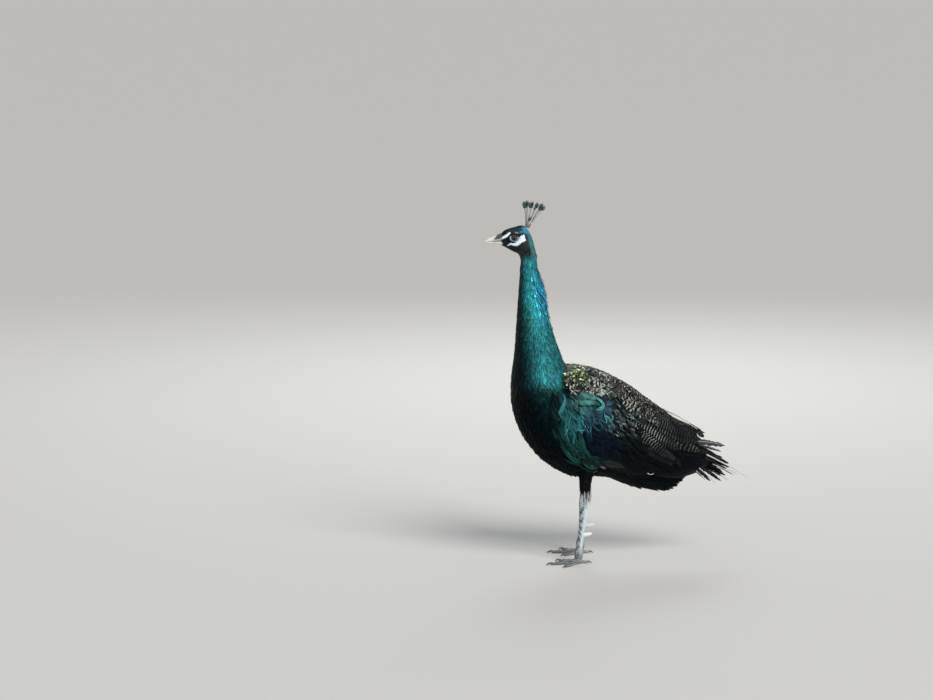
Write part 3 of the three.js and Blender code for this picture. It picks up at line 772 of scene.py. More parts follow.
def legUv(p, faces, name):
    # the shank is unrolled round its axis, and the foot is laid out from above and from below
    side, ankleX = legs[name]
    y0, base = side * legMake["spread"], legMap[name]
    uvs = []
    for face in faces:
        corners = p[list(face)]
        x, y, z = corners.mean(axis=0)
        if z > legMap["footTop"]:
            middle = math.atan2(y - y0, x - shankMiddle(z, ankleX))
            angle = np.arctan2(corners[:, 1] - y0, corners[:, 0] - shankMiddle(corners[:, 2], ankleX))
            angle = middle + (angle - middle + math.pi) % fullTurn - math.pi
            us = base + 0.005 + legMap["wide"] * (angle / fullTurn + 0.5)
            vs = legMap["low"] + legMap["tall"] * (corners[:, 2] - legMap["footTop"]) / 150
        else:
            above = np.cross(corners[1] - corners[0], corners[2] - corners[0])[2] > 0
            us = base + 0.01 + 0.13 * (corners[:, 1] - y0 + 60) / 120
            vs = legMap["footAbove" if above else "footBelow"] + 0.25 * (corners[:, 0] - ankleX + 80) / 120
        uvs += zip(us, vs)
    return uvs


def makeThighSkin(name):
    side, ankleX = legs[name]
    verts, faces = closedTube(tubeAlong(thighStops(side, ankleX), 40, 40, 0.85))
    base, low = legMap[name] + legMap["thigh"], legMap["low"]
    colour = mix(tints["thigh"], tints["hock"], smooth(188, 160, verts[:, 2]))
    along = np.linspace(base, base + legMap["wide"], 40)
    return verts, faces, colour, tubeUv(along, 40, low, low + legMap["tall"])


skinParts = [makeBodySkin()]
for legName in legs:
    skinParts += [makeThighSkin(legName), makeLegSkin(legName)]
skin = meshOf("skin", skinParts)
skinNodes = ["head", "neck_upper", "neck_middle", "neck_lower", "trunk", "rump"]
skinNodes += [part + side for part in ("thigh_", "tarsus_", "foot_") for side in ("left", "right")]
skinFinish = tintedMaterial("birdSkin", (90.0, 2.0, 0.5, 0.75), (900.0, 3.0, 0.5, 0.0006), 0.6, gloss=0.3)
setPiece(skin, skinNodes, skinFinish, closed=True)


def vaneShape(name, rows, strands, cup, curl, tip):
    # One feather of length 1 along +Y and width 1 along X, made of one or more side-by-side strands.
    verts, faces, vane = [], [], []
    for lean, share in strands:
        first = len(verts)
        for i in range(rows + 1):
            s = i / rows
            rounded = math.sqrt(max(1 - max((s - tip) / (1.02 - tip), 0) ** 2, 0))
            half = (0.34 + 0.66 * min(s / 0.42, 1)) * rounded
            for a in (-1, 0, 1):
                x = a * half * share / 2 + math.sin(lean) * s
                verts.append((x, s * math.cos(lean), -cup * (x * 2) ** 2 - curl * s * s))
                vane.append((s, max(-1.0, min(1.0, a * share + 2 * math.sin(lean) * s)), 0))
        for a in range(first, first + rows * 3, 3):
            faces += [(a, a + 1, a + 4, a + 3), (a + 1, a + 2, a + 5, a + 4)]
    mesh = bpy.data.meshes.new(name)
    mesh.from_pydata(verts, [], faces)
    layer = mesh.attributes.new("vane", "FLOAT_VECTOR", "POINT")
    layer.data.foreach_set("vector", np.array(vane, dtype=np.float32).ravel())
    mesh.shade_smooth()
    return bpy.data.objects.new(name, mesh)


def featherTree():
    # points with a lie, an outward direction, a size and a place on the unwrap become feathers
    tree = bpy.data.node_groups.new("featherCoat", "GeometryNodeTree")
    for label, kind in (("Roots", "Geometry"), ("Feather", "Object"), ("Lift", "Float"), ("Patch", "Float"),
                        ("Seed", "Int"), ("Finish", "Material")):
        tree.interface.new_socket(label, in_out="INPUT", socket_type="NodeSocket" + kind)
    tree.interface.new_socket("Coat", in_out="OUTPUT", socket_type="NodeSocketGeometry")
    given = addNode(tree, "NodeGroupInput").outputs

    def add(kind, inputs, **settings):
        return addNode(tree, kind, inputs, **settings).outputs

    def named(label):
        return add("GeometryNodeInputNamedAttribute", {"Name": label}, data_type="FLOAT_VECTOR")["Attribute"]

    def vectorMath(operation, a, b):
        second = "Scale" if operation == "SCALE" else 1
        return add("ShaderNodeVectorMath", {0: a, second: b}, operation=operation)["Vector"]

    lie = add("FunctionNodeAlignRotationToVector", {"Vector": named("lie")}, axis="Y")["Rotation"]
    out = add("FunctionNodeAlignRotationToVector", {"Rotation": lie, "Vector": named("out")}, axis="Z",
              pivot_axis="Y")["Rotation"]
    jitter = add("FunctionNodeRandomValue", {0: (-0.05, -0.14, -0.16), 1: (0.08, 0.14, 0.16),
                                             "Seed": given["Seed"]},
                 data_type="FLOAT_VECTOR")[0]
    lift = add("ShaderNodeCombineXYZ", {"X": given["Lift"]})["Vector"]
    turn = add("FunctionNodeEulerToRotation", {"Euler": vectorMath("ADD", lift, jitter)})["Rotation"]
    turned = add("FunctionNodeRotateRotation", {"Rotation": out, "Rotate By": turn}, rotation_space="LOCAL")
    feather = add("GeometryNodeObjectInfo", {"Object": given["Feather"]})["Geometry"]
    points = add("GeometryNodeMeshToPoints", {"Mesh": given["Roots"]})["Points"]
    place = {"Points": points, "Instance": feather, "Rotation": turned["Rotation"], "Scale": named("size")}
    placed = add("GeometryNodeInstanceOnPoints", place)["Instances"]
    real = add("GeometryNodeRealizeInstances", {"Geometry": placed})["Geometry"]
    split = separate(named("vane"))
    half = add("ShaderNodeMath", {0: split["Y"], 1: 0.5}, operation="MULTIPLY")["Value"]
    local = add("ShaderNodeCombineXYZ", {"X": split["X"], "Y": half})["Vector"]
    spot = vectorMath("ADD", named("unwrap"), vectorMath("SCALE", local, given["Patch"]))
    mapped = add("GeometryNodeStoreNamedAttribute", {"Geometry": real, "Name": "OFBake", "Value": spot},
                 data_type="FLOAT2", domain="CORNER")["Geometry"]
    dressed = add("GeometryNodeSetMaterial", {"Geometry": mapped, "Material": given["Finish"]})["Geometry"]
    add("NodeGroupOutput", {"Coat": dressed})
    return tree


coatTree = featherTree()


def featherRows(surface, look):
    # staggered rows of roots from the head backwards, with steps that grow along the body
    out = []
    u = look["from"]
    row = 0
    ring = np.arange(64) / 64 * fullTurn
    jitter = look.get("jitter", 0.25)
    while u < look["to"]:
        along, aside = [
            first + more * (u - look.get("zero", 0)) for first, more in (look["along"], look["aside"])
        ]
        speed = np.linalg.norm(sample(surface, "du", np.full(64, u), ring), axis=-1)
        girth = np.linalg.norm(sample(surface, "dv", np.full(64, u), ring), axis=-1).mean() * fullTurn
        step = along / speed.mean()
        n = max(int(girth / aside), 6)
        v = (np.arange(n) + 0.5 * (row % 2) + jitter * (rng.random(n) - 0.5)) / n * fullTurn
        uj = u + step * jitter * (rng.random(n) - 0.5)
        long = np.linalg.norm(sample(surface, "du", uj, v), axis=-1) * step * look["longer"]
        wide = np.linalg.norm(sample(surface, "dv", uj, v), axis=-1) * fullTurn / n * look["wider"]
        out.append(np.stack([uj, v, long, wide], axis=-1))
        u += step
        row += 1
    table = np.concatenate(out)
    table = table[table[:, 0] < look["to"]]
    return table[look["where"](sample(surface, "p", table[:, 0], table[:, 1]))]


def growCoat(name, look, surface=bodySkin, tintOf=plumage):
    u, v, long, wide = featherRows(surface, look).T
    p, n = sample(surface, "p", u, v), len(u)
    tint = tintOf(p, u) * np.exp(look["uneven"] * rng.normal(size=n))[:, None]
    tint = np.clip(tint * (1 + look.get("hues", 0.10) * rng.normal(size=(n, 3))), 0.0004, 1.0)
    lo, hi = look["map"]
    unwrap = np.stack([(u - lo) / (hi - lo) * 0.97 + 0.01, v / fullTurn % 1.0 * 0.98 + 0.01, np.zeros(n)],
                      axis=-1)
    obj = makeMesh(name, p, [], [
        ("lie", "FLOAT_VECTOR", unit(sample(surface, "du", u, v))),
        ("out", "FLOAT_VECTOR", unit(sample(surface, "n", u, v))),
        ("size", "FLOAT_VECTOR", np.stack([wide, long, long], axis=-1) * mm),
        ("unwrap", "FLOAT_VECTOR", unwrap), ("tint", "FLOAT_COLOR", rgba(tint)),
    ], smoothFaces=False)
    modifier = obj.modifiers.new("coat", "NODES")
    modifier.node_group = coatTree
    given = {"Feather": look["feather"], "Lift": look["lift"], "Patch": 0.003, "Seed": look["seed"],
             "Finish": look["finish"]}
    for item in coatTree.interface.items_tree:
        if item.in_out == "INPUT" and item.name in given:
            modifier[item.identifier] = given[item.name]
    roots = obj.data
    obj.data = meshWith(obj)
    obj.modifiers.clear()
    bpy.data.meshes.remove(roots)
    obj.data.name = name
    setPiece(obj)


def ruffled(p):
    # where the feathers of the nape stand up in tufts
    x, y, z = p[..., 0], p[..., 1], p[..., 2]
    clump = np.sin(z * 0.23 + 1.3 * np.sin(y * 0.11)) * np.sin(y * 0.19 + 0.6)
    nape = x > np.interp(z, [560, 640, 690, 740], [-96, -112, -118, -128])
    return nape & (z > 560) & (z < 736) & (clump > np.interp(z, [560, 620, 660, 730], [0.6, 0.35, -0.2, 0.3]))


def breastFeathered(p):
    # everywhere but under the wings
    return (underWing(p) < 0.8) | (p[..., 0] > 250) | ((p[..., 2] > 430) & (p[..., 0] < 50))


# Shapes of the small feathers: rows, strands as (lean, share of the width), cup, curl and where
# the tip begins.
silk = vaneShape("silkFeather", 3, ((0.0, 0.6), (-0.16, 0.34), (0.16, 0.34)), 0.10, 0.10, 0.35)
scale = vaneShape("scaleFeather", 4, ((0.0, 1.0),), 0.16, 0.08, 0.45)
downStrands = ((0.0, 0.5), (-0.22, 0.3), (0.22, 0.3), (-0.4, 0.2), (0.4, 0.2))
down = vaneShape("downFeather", 4, downStrands, 0.10, 0.12, 0.3)
stump = vaneShape("stumpFeather", 3, ((0.0, 0.5), (-0.1, 0.3), (0.12, 0.3)), 0.10, 0.05, 0.5)
velvet = vaneShape("velvetFeather", 2, ((0.0, 1.0),), 0.12, 0.15, 0.4)
neckFinish = featherMaterial("neckPlumage", 0.48, 0.5, edge=0.9, shaft=0.5, barb=0.35, gloss=0.15)

# Each coat: its stretch of the surface, the steps along and aside (in mm at zero, and how they grow), how
# much longer and wider than a step its feathers are, how uneven their tints are and how far they lift.
coats = {
    "coat_head": {
        "slot": "head_feathers", "from": 0.012, "to": 0.285, "along": (2.1, 7.5), "aside": (1.9, 6.5),
        "longer": 2.5, "wider": 1.7, "uneven": 0.18, "map": (0, 0.29), "lift": 0.12, "seed": 3,
        "feather": velvet, "finish": featherMaterial("headPlumage", 0.5, 0.25, edge=0.5, gloss=0.1),
        "where": lambda p: bareMask(p) + lidMask(p) < 0.35,
    },
    "coat_neck": {
        "slot": "neck_feathers", "from": 0.28, "to": 0.60, "zero": 0.28, "along": (3.8, 7), "aside": (3.3, 6),
        "longer": 3.2, "wider": 2.0, "uneven": 0.24, "map": (0.27, 0.61), "lift": 0.16, "seed": 5,
        "feather": silk, "finish": neckFinish, "where": lambda p: p[..., 2] > 0,
    },
    "coat_breast": {
        "slot": "breast_feathers", "from": 0.58, "to": 0.985, "zero": 0.58, "along": (6.5, 9),
        "aside": (6.5, 8),
        "longer": 2.8, "wider": 1.8, "uneven": 0.25, "map": (0.57, 1.0), "lift": 0.17, "seed": 9,
        "feather": scale, "finish": featherMaterial("breastPlumage", 0.45, 0.4, edge=0.9, gloss=0.05),
        "where": breastFeathered,
    },
    "nape_ruffle": {
        "slot": "neck_feathers", "from": 0.33, "to": 0.46, "along": (6.0, 0), "aside": (5.0, 0),
        "jitter": 0.8,
        "longer": 2.6, "wider": 1.5, "uneven": 0.4, "map": (0.27, 0.61), "lift": 0.42, "seed": 6,
        "feather": silk, "finish": neckFinish, "where": ruffled,
    },
}
for coatName, coatLook in coats.items():
    growCoat(coatName, coatLook)
print("coat is grown")



def onSurface(surface, u, v):
    # beyond its end the surface runs straight on
    over = np.maximum(u - 1, 0)[..., None]
    return sample(surface, "p", u, v) + sample(surface, "du", u, v) * over


def stepAlong(surface, u, v, way):
    # where (u, v) gets to when it moves by a short way, in mm, along the surface
    du, dv = sample(surface, "du", u, v), sample(surface, "dv", u, v)
    a, b, c = dot(du, du), dot(du, dv), dot(dv, dv)
    p, q = dot(way, du), dot(way, dv)
    spread = np.maximum(a * c - b * b, 1e-3 * a * c + 1e-9)
    return u + (p * c - q * b) / spread, v + (q * a - p * b) / spread


def findOn(surface, x, z, side):
    # the (u, v) that shows at (x, z) in the side view, on the left (-1) or right (1)
    half = surface["nv"] // 2
    columns = np.arange(1, half) if side > 0 else np.arange(half + 1, surface["nv"])
    table = surface["p"][:, columns]
    us, vs = [], []
    for px, pz in zip(np.atleast_1d(x), np.atleast_1d(z)):
        away = (sideX(table) - px) ** 2 + (sideZ(table) - pz) ** 2
        i, j = np.unravel_index(np.argmin(away), away.shape)
        us.append(i / (surface["nu"] - 1))
        vs.append(columns[j] / surface["nv"] * 2 * math.pi)
    u, v = np.array(us), np.array(vs)
    for _ in range(2):  # the nearest point of the table, then closer
        p, du, dv = [sample(surface, label, u, v) for label in ("p", "du", "dv")]
        ex, ez = np.atleast_1d(x) - sideX(p), np.atleast_1d(z) - sideZ(p)
        ux, uz, vx, vz = [d[:, axis] + side * slant * d[:, 1] for d in (du, dv)
                          for axis, slant in ((0, sideSlant[0]), (2, -sideSlant[1]))]
        flat = ux * vz - uz * vx
        firm = np.abs(flat) > 0.3 * np.linalg.norm(du, axis=-1) * np.linalg.norm(dv, axis=-1)
        flat = np.where(firm, flat, 1)
        u = np.clip(u + firm * (ex * vz - ez * vx) / flat, 0, 1)
        v = v + firm * (ux * ez - uz * ex) / flat
    return u, v


def scatter(spacing, inside, side, tries=7000):
    # roots on one side of the wing's surface, at least spacing apart, wherever inside(p) says so
    u = rng.random(tries)
    v = rng.random(tries) * math.pi + (0 if side > 0 else math.pi)
    p = sample(wingSkin, "p", u, v)
    area = np.linalg.norm(np.cross(sample(wingSkin, "du", u, v), sample(wingSkin, "dv", u, v)), axis=-1)
    take = (rng.random(tries) < area / area.max()) & inside(p)
    u, v, p = u[take], v[take], p[take]
    kept = []
    for i in range(len(p)):
        if not kept or np.min(np.sum((p[kept] - p[i]) ** 2, axis=-1)) > spacing**2:
            kept.append(i)
    return u[kept], v[kept], p[kept]


def bothSides(find):
    # what find(side) gives for the left and then for the right
    return [np.concatenate(pair) for pair in zip(find(-1), find(1))]


def plumeOutline(s, root=0.45, rise=0.35, tip=0.62, power=2.0):
    grow = root + (1 - root) * np.minimum(s / rise, 1) ** 0.8
    return grow * np.sqrt(np.maximum(1 - np.maximum((s - tip) / (1.0 - tip), 0) ** power, 0.0))


def layVanes(surface, roots, rows, cols, outline=plumeOutline, flow=None):
    # drapes each feather over the surface, from its root along its way, which a flow may turn
    u, v, way = roots["u"], roots["v"], roots["way"]
    across = np.linspace(-1, 1, cols + 1)
    points, vane = [], []
    for i in range(rows + 1):
        s = i / rows
        normal = unit(sample(surface, "n", u, v))
        way = unit(way - normal * dot(way, normal)[:, None])
        side = np.cross(normal, way)
        half = roots["width"] / 2 * outline(s) * (1 + 0.10 * np.sin(9 * s + roots["phase"]))
        off = half[:, None] * across
        cu, cv = stepAlong(surface, u[:, None], v[:, None], side[:, None, :] * off[..., None])
        out = unit(sample(surface, "n", cu, cv))
        rise = roots["low"] + (roots["high"] - roots["low"]) * s**0.7
        height = rise[:, None] - roots["cup"] * (off / 10) ** 2 + roots["roll"][:, None] * across * s
        points.append(onSurface(surface, cu, cv) + out * height[..., None])
        fine = (roots["length"] * roots["fine"] / 100)[:, None]
        vane.append(np.stack(np.broadcast_arrays(s, across, fine), axis=-1))
        turn = (roots["bend"] / rows)[:, None]
        u, v = stepAlong(surface, u, v, way * (roots["length"] / rows)[:, None])
        way = way * np.cos(turn) + side * np.sin(turn)
        if flow is not None:
            way = unit(way * 0.55 + flow(sample(surface, "p", u, v)) * 0.45)
    return np.stack(points, axis=1), np.stack(vane, axis=1)


widest = 113.2  # no feather stands out further to the side


def vaneMesh(name, slot, points, vane, tint, rim, material, nodes=(), thick=0.35):
    # closed thin feathers from grids of points; tint and rim are one RGBA for each feather, lot a number
    points = np.stack([points[..., 0], np.clip(points[..., 1], -widest, widest), points[..., 2]], axis=-1)
    n, rows, cols = points.shape[:3]
    normal = unit(np.cross(np.gradient(points, axis=2), np.gradient(points, axis=1)))
    per = rows * cols
    verts = np.concatenate([points.reshape(n, per, 3), (points - normal * thick).reshape(n, per, 3)], axis=1)
    i, j = np.meshgrid(np.arange(rows - 1), np.arange(cols - 1), indexing="ij")
    a = (i * cols + j).ravel()
    top = np.stack([a, a + 1, a + cols + 1, a + cols], axis=-1)
    edge = np.concatenate([
        np.arange(cols), np.arange(1, rows) * cols + cols - 1,
        (rows - 1) * cols + np.arange(cols - 2, -1, -1), np.arange(rows - 2, 0, -1) * cols,
    ])
    after = np.roll(edge, -1)
    one = np.concatenate([top, top[:, ::-1] + per, np.stack([after, edge, edge + per, after + per], axis=-1)])
    faces = (one[None] + (np.arange(n) * 2 * per)[:, None, None]).reshape(-1, 4)
    columns = max(1, int(math.ceil(math.sqrt(n * 2.2))))
    lines = int(math.ceil(n / columns))
    cell = np.arange(n)[:, None]
    flat = vane.reshape(n, per, 3)
    uv = np.stack([
        (cell % columns + 0.5 + 0.44 * flat[..., 1]) / columns,
        (cell // columns + 0.06 + 0.88 * flat[..., 0]) / lines,
    ], axis=-1)
    uv = np.concatenate([uv, uv], axis=1).reshape(-1, 2)
    obj = makeMesh(name, verts.reshape(-1, 3), faces.tolist(), [
        ("vane", "FLOAT_VECTOR", np.concatenate([flat, flat], axis=1)),
        ("tint", "FLOAT_COLOR", np.repeat(tint, 2 * per, axis=0)),
        ("rim", "FLOAT_COLOR", np.repeat(rim, 2 * per, axis=0)),
        ("lot", "FLOAT", np.repeat(rng.random(n), 2 * per)),
    ], uv[faces.ravel()])
    setPiece(obj, nodes, material)


def growVanes(name, slot, roots, grid, material, nodes=(), outline=plumeOutline, flow=None):
    points, vane = layVanes(wingSkin, roots, *grid, outline, flow)
    vaneMesh(name, slot, points, vane, roots["tint"], roots["rim"], material, nodes)


vaneLook = {
    # period of the bars in mm, their colour, how wavy, broken and wide they are and where they end
    "period": 9.0, "pale": (0.12, 0.11, 0.10), "wobble": 1.6, "broken": 1.6, "wide": -0.35, "until": 2.0,
    "least": 0.2, "fine": 110.0, "grain": 420.0,
    # streaks along the vane, its shaft, its barbs and its gloss
    "streak": 0.0, "shaft": (0.10, 0.09, 0.075), "shaftFine": 14.0, "shaftShow": 0.45, "barbs": 0.22,
    "gloss": 0.2,
}


def vaneMaterial(name, rough, metal, **changes):
    # long feathers: wavy pale bars, coloured rims, a shaft, fine barbs and painted shade at the root
    look = {**vaneLook, **changes}
    period = look["period"]
    material, tree, shader = newMaterial(name)
    lot = attribute(tree, "lot", "Fac")
    along, across, long = separate(attribute(tree, "vane", "Vector"))
    off = calc("ABSOLUTE", across)
    distance = times(along, times(long, 100.0))
    wave = fit(lot, 37.0, fit(noiseOf(tree, look["fine"], 2.0), 2 * look["wobble"], -look["wobble"]))
    turns = times(distance, fit(lot, 1.6 / period, 5.4 / period))
    wavy = calc("SINE", calc("ADD", turns, fit(off, -1.3, wave)))
    broken = fit(noiseOf(tree, look["grain"], 2.0), look["broken"], -0.47 * look["broken"])
    bars = fit(calc("ADD", wavy, broken), 2.2, look["wide"] * 2.2, clamp=True)
    fade = calc("SUBTRACT", 1.0, calc("POWER", off, 6.0), clamp=True)
    mark = times(times(bars, attribute(tree, "tint", "Alpha")), fade, clamp=True)
    outer = fit(along, -4.0, 4.0 * look["until"] + 1.0, clamp=True)
    mark = times(mark, calc("MAXIMUM", outer, look["least"]))
    colour = blend(mark, attribute(tree, "tint"), look["pale"])
    ring = calc("MAXIMUM", fit(off, 5.0, -3.9, clamp=True), fit(along, 9.0, -8.0, clamp=True))
    ring = times(ring, fit(along, 1.4, -0.3, clamp=True))
    ring = times(ring, attribute(tree, "rim", "Alpha"), clamp=True)
    colour = blend(ring, colour, attribute(tree, "rim"))
    slant = calc("SUBTRACT", distance, times(off, 5.0))
    barbs = fit(calc("SINE", times(slant, 5.2)), 0.5, 0.5)
    shade = fit(noiseOf(tree, 45.0, 3.0), 1.0, 0.5)
    if look["streak"]:
        inputs = {"X": fit(across, 4.5, times(lot, 90.0)), "Y": times(along, 1.3)}
        place = addNode(tree, "ShaderNodeCombineXYZ", inputs).outputs["Vector"]
        streaks = fit(noiseOf(tree, 1.0, 4.0, 0.65, place), 5.0 * look["streak"], 1 - 2.5 * look["streak"])
        shade = times(shade, calc("MAXIMUM", streaks, 0.12))
    shade = times(shade, fit(barbs, look["barbs"], 1 - look["barbs"] / 2))
    # painted shade: darker near the root, where the feathers overlap
    shade = times(shade, fit(times(along, 2.2, clamp=True), 0.6, 0.4))
    shaft = calc("SUBTRACT", 1.0, times(off, look["shaftFine"]), clamp=True)
    shaft = times(shaft, look["shaftShow"])
    colour = blend(shaft, shadeBy(colour, shade), look["shaft"])
    finishShader(shader, colour, rough, metal, look["gloss"], (fit(shaft, 1.5, barbs), 0.3, 0.0004))
    return material


def heading(p, slope):
    # the way back along the bird in side view, rising by slope, the same on both sides
    way = np.zeros(p.shape)
    way[:, 0] = 1.0
    way[:, 2] = slope
    return unit(way)


def wingRoots(u, v, way, length, width, low, high, tint, mark, rim, shine, bend=0.0, cup=0.5, spread=0.2):
    # one number, or one for each feather, and chance added to them; mark shows the bars, shine the rim
    n = len(u)

    def each(value, *more):
        return np.broadcast_to(np.asarray(value, dtype=float), (n, *more))

    tint = each(tint, 3) * np.exp(spread * rng.normal(size=(n, 1)))
    return {
        "u": u, "v": v, "way": way,
        "length": each(length) * (1 + 0.06 * rng.normal(size=n)),
        "width": each(width) * (1 + 0.05 * rng.normal(size=n)),
        "low": each(low) + 0.25 * rng.normal(size=n),
        "high": each(high) + 0.3 * rng.normal(size=n),
        "bend": each(bend) + 0.08 * rng.normal(size=n),
        "roll": 0.5 * rng.normal(size=n),
        "phase": rng.random(n) * 6.28,
        "cup": cup,
        "fine": np.ones(n),
        "tint": np.concatenate([np.clip(tint, 0, 1), each(mark)[:, None]], axis=-1),
        "rim": np.concatenate([each(rim, 3), each(shine)[:, None]], axis=-1),
    }


def jitterWay(way, amount):
    return unit(way + amount * rng.normal(size=way.shape))


def spot(x, z, at, wide):
    # 1 at a place in the side view, falling away round it
    return np.exp(-(((x - at[0]) / wide[0]) ** 2) - ((z - at[1]) / wide[1]) ** 2)[:, None]


mottledFinish = vaneMaterial("mottledVane", 0.6, 0.0, period=9.0, pale=(0.54, 0.57, 0.51), wobble=4.6,
                             broken=2.6,
                             wide=-0.50, fine=92.0, shaftShow=0.1, grain=170.0, gloss=0.05)
barredFinish = vaneMaterial("barredVane", 0.58, 0.0, period=8.4, pale=(0.46, 0.50, 0.50), wobble=1.3,
                            broken=1.3,
                            wide=-0.58, shaftShow=0.05, shaft=(0.05, 0.045, 0.04), grain=300.0, gloss=0.04,
                            until=0.60)
satinFinish = vaneMaterial("satinVane", 0.45, 0.2, pale=(0.01, 0.05, 0.07), gloss=0.06, shaftShow=0.1)
silkFinish = vaneMaterial("silkVane", 0.42, 0.3, streak=0.6, gloss=0.08, pale=(0.01, 0.05, 0.07),
                          shaftShow=0.06)
quillFinish = vaneMaterial("quillVane", 0.55, 0.0, pale=(0.06, 0.058, 0.055), streak=0.25, gloss=0.05,
                           shaftShow=0.2)
goldVane = vaneMaterial("goldVane", 0.36, 0.2, pale=(0.4, 0.45, 0.1), gloss=0.3, shaftShow=0.0)


def wedgeOf(p):
    return np.abs(p[..., 1]) - 3 - 0.07 * (400 - p[..., 0])


def hasHeight(p):
    # 1 on the upper half of the folded wings, 0 on the belly side
    return p[..., 2] > np.interp(p[..., 0], [-60, 0, 100, 200, 300, 390], [436, 430, 345, 285, 256, 248])


def pastFront(p):
    # how far a point is behind the flank feathers, where the wing begins, in the side view
    heights = [225, 240, 255, 268, 285, 300, 330, 370, 385, 400, 420, 440]
    return sideX(p) - np.interp(sideZ(p), heights, [60, 50, 30, 18, 8, 0, -5, -6, -14, -24, -34, -40])


primaries = {
    "long": np.array([122, 138, 148, 146, 138, 128, 116, 104, 92]), "width": 21, "low": -12.5, "high": -9.5,
    "tint": (0.005, 0.0055, 0.0065), "worn": (0.030, 0.034, 0.036), "rim": (0.03, 0.03, 0.03),
}


def growPrimaries(name, side):
    # the folded tips, past the rump; two of them are worn grey
    look, k = primaries, np.arange(len(primaries["long"]))
    u, v = findOn(wingSkin, 240 + 3.5 * k, 313 - 11 * k, side)
    way = jitterWay(heading(sample(wingSkin, "p", u, v), -0.50 + 0.045 * k), 0.02)
    tint = np.where((k[:, None] == 1) | (k[:, None] == 2), look["worn"], look["tint"])
    low, high = look["low"] + 0.35 * (8 - k), look["high"] + 0.5 * (8 - k)
    roots = wingRoots(u, v, way, look["long"], look["width"], low, high, tint, 0.15, look["rim"], 0.3)
    growVanes(name + "_primary_feathers", "flight_feathers", roots, (22, 6), quillFinish,
              [name + "_primaries"])


secondaries = {
    "spacing": 14.5, "width": 20, "tint": (0.0004, 0.0014, 0.0026), "blue": (0.0, 0.005, 0.014),
    "purple": (0.003, 0.001, 0.006), "rim": (0.002, 0.006, 0.010),
}


def growSecondaries(name, side):
    # nearly black satin feathers along the lower edge
    def inside(p):
        over = p[..., 2] - np.interp(p[..., 0], [10, 34, 62, 150, 250, 318], [330, 290, 242, 220, 202, 232])
        return (pastFront(p) > 4) & (p[..., 0] < 262) & (over > 5) & (over < 98) & (wedgeOf(p) > 8)

    look = secondaries
    u, v, p = scatter(look["spacing"], inside, side)
    x = p[:, 0]
    way = jitterWay(heading(p, np.interp(x, [10, 90, 200, 262], [-0.9, -0.50, -0.20, 0.0])), 0.05)
    length = np.minimum(np.interp(x, [10, 80, 200], [52, 80, 90]), 318 - x)
    tint = look["tint"] + spot(sideX(p), sideZ(p), (44, 318), (45, 20)) * look["blue"]
    tint = tint + spot(x, p[:, 2], (262, 232), (34, 24)) * look["purple"]
    roots = wingRoots(u, v, way, length, look["width"], -9.5, -6.4, tint, 0.06, look["rim"], 0.5, cup=0.2)
    growVanes(name + "_secondary_feathers", "wing_feathers", roots, (12, 6), satinFinish,
              [name + "_secondaries"])


tertials = {
    "tint": (0.0038, 0.0046, 0.0052), "rim": (0.035, 0.035, 0.033), "low": -7.6, "high": -4.2, "layer": 0.42,
}
tertialTable = [
    # start and end in the side view, width, how bold the bars are, how fine they are
    (100, 330, 246, 242, 26, 0.08, 1.2), (104, 346, 236, 254, 24, 0.25, 1.15),
    (122, 350, 232, 262, 22, 0.50, 1.10), (128, 362, 262, 276, 26, 0.55, 1.05),
    (146, 353, 306, 270, 29, 1.0, 0.84), (146, 368, 306, 286, 26, 0.40, 1.10),
    (146, 380, 304, 302, 26, 0.34, 1.2), (142, 392, 298, 316, 26, 0.36, 1.25),
    (140, 402, 286, 332, 24, 0.36, 1.3), (138, 410, 270, 346, 24, 0.30, 1.3),
    (134, 418, 252, 360, 22, 0.25, 1.3), (130, 425, 230, 374, 22, 0.25, 1.3),
]


def growTertials(name, side):
    # long barred feathers, each over the one below it and each with a twin under its edge
    look, table = tertials, np.repeat(np.array(tertialTable), 2, axis=0)
    n = len(table)
    twin = np.tile([1.0, 0.0], len(tertialTable))[:, None]
    start = table[:, 0:2] + twin * (9, -8) + 1.5 * rng.normal(size=(n, 2))
    end = table[:, 2:4] + twin * (-16, -1) + 2.0 * rng.normal(size=(n, 2))
    u, v = findOn(wingSkin, start[:, 0], start[:, 1], side)
    p = sample(wingSkin, "p", u, v)
    tips = sample(wingSkin, "p", *findOn(wingSkin, end[:, 0], end[:, 1], side))
    rank = look["layer"] * np.arange(n) / 2
    tint = look["tint"] * rng.uniform(0.6, 1.6, (n, 1))
    roots = wingRoots(u, v, unit(tips - p), np.linalg.norm(tips - p, axis=-1), table[:, 4],
                      look["low"] + rank, look["high"] + rank, tint, table[:, 5] * (1 - 0.4 * twin[:, 0]),
                      look["rim"], 0.3, cup=0.25)
    roots["fine"] = table[:, 6]
    growVanes(name + "_tertial_feathers", "tertial_feathers", roots, (30, 6), barredFinish,
              [name + "_tertials"],
              flow=lambda q: unit(tips - q))


coverts = {
    "spacing": 9.5, "width": 16, "tint": (0.0003, 0.0034, 0.0090), "high": (0.008, 0.026, 0.034),
    "green": (0.018, 0.070, 0.066), "rim": (0.03, 0.16, 0.19),
    "dustyWidth": 8.5, "dusty": (0.0012, 0.0030, 0.0040), "dustyLight": (0.040, 0.052, 0.052),
    "dustyRim": (0.10, 0.13, 0.13),
}


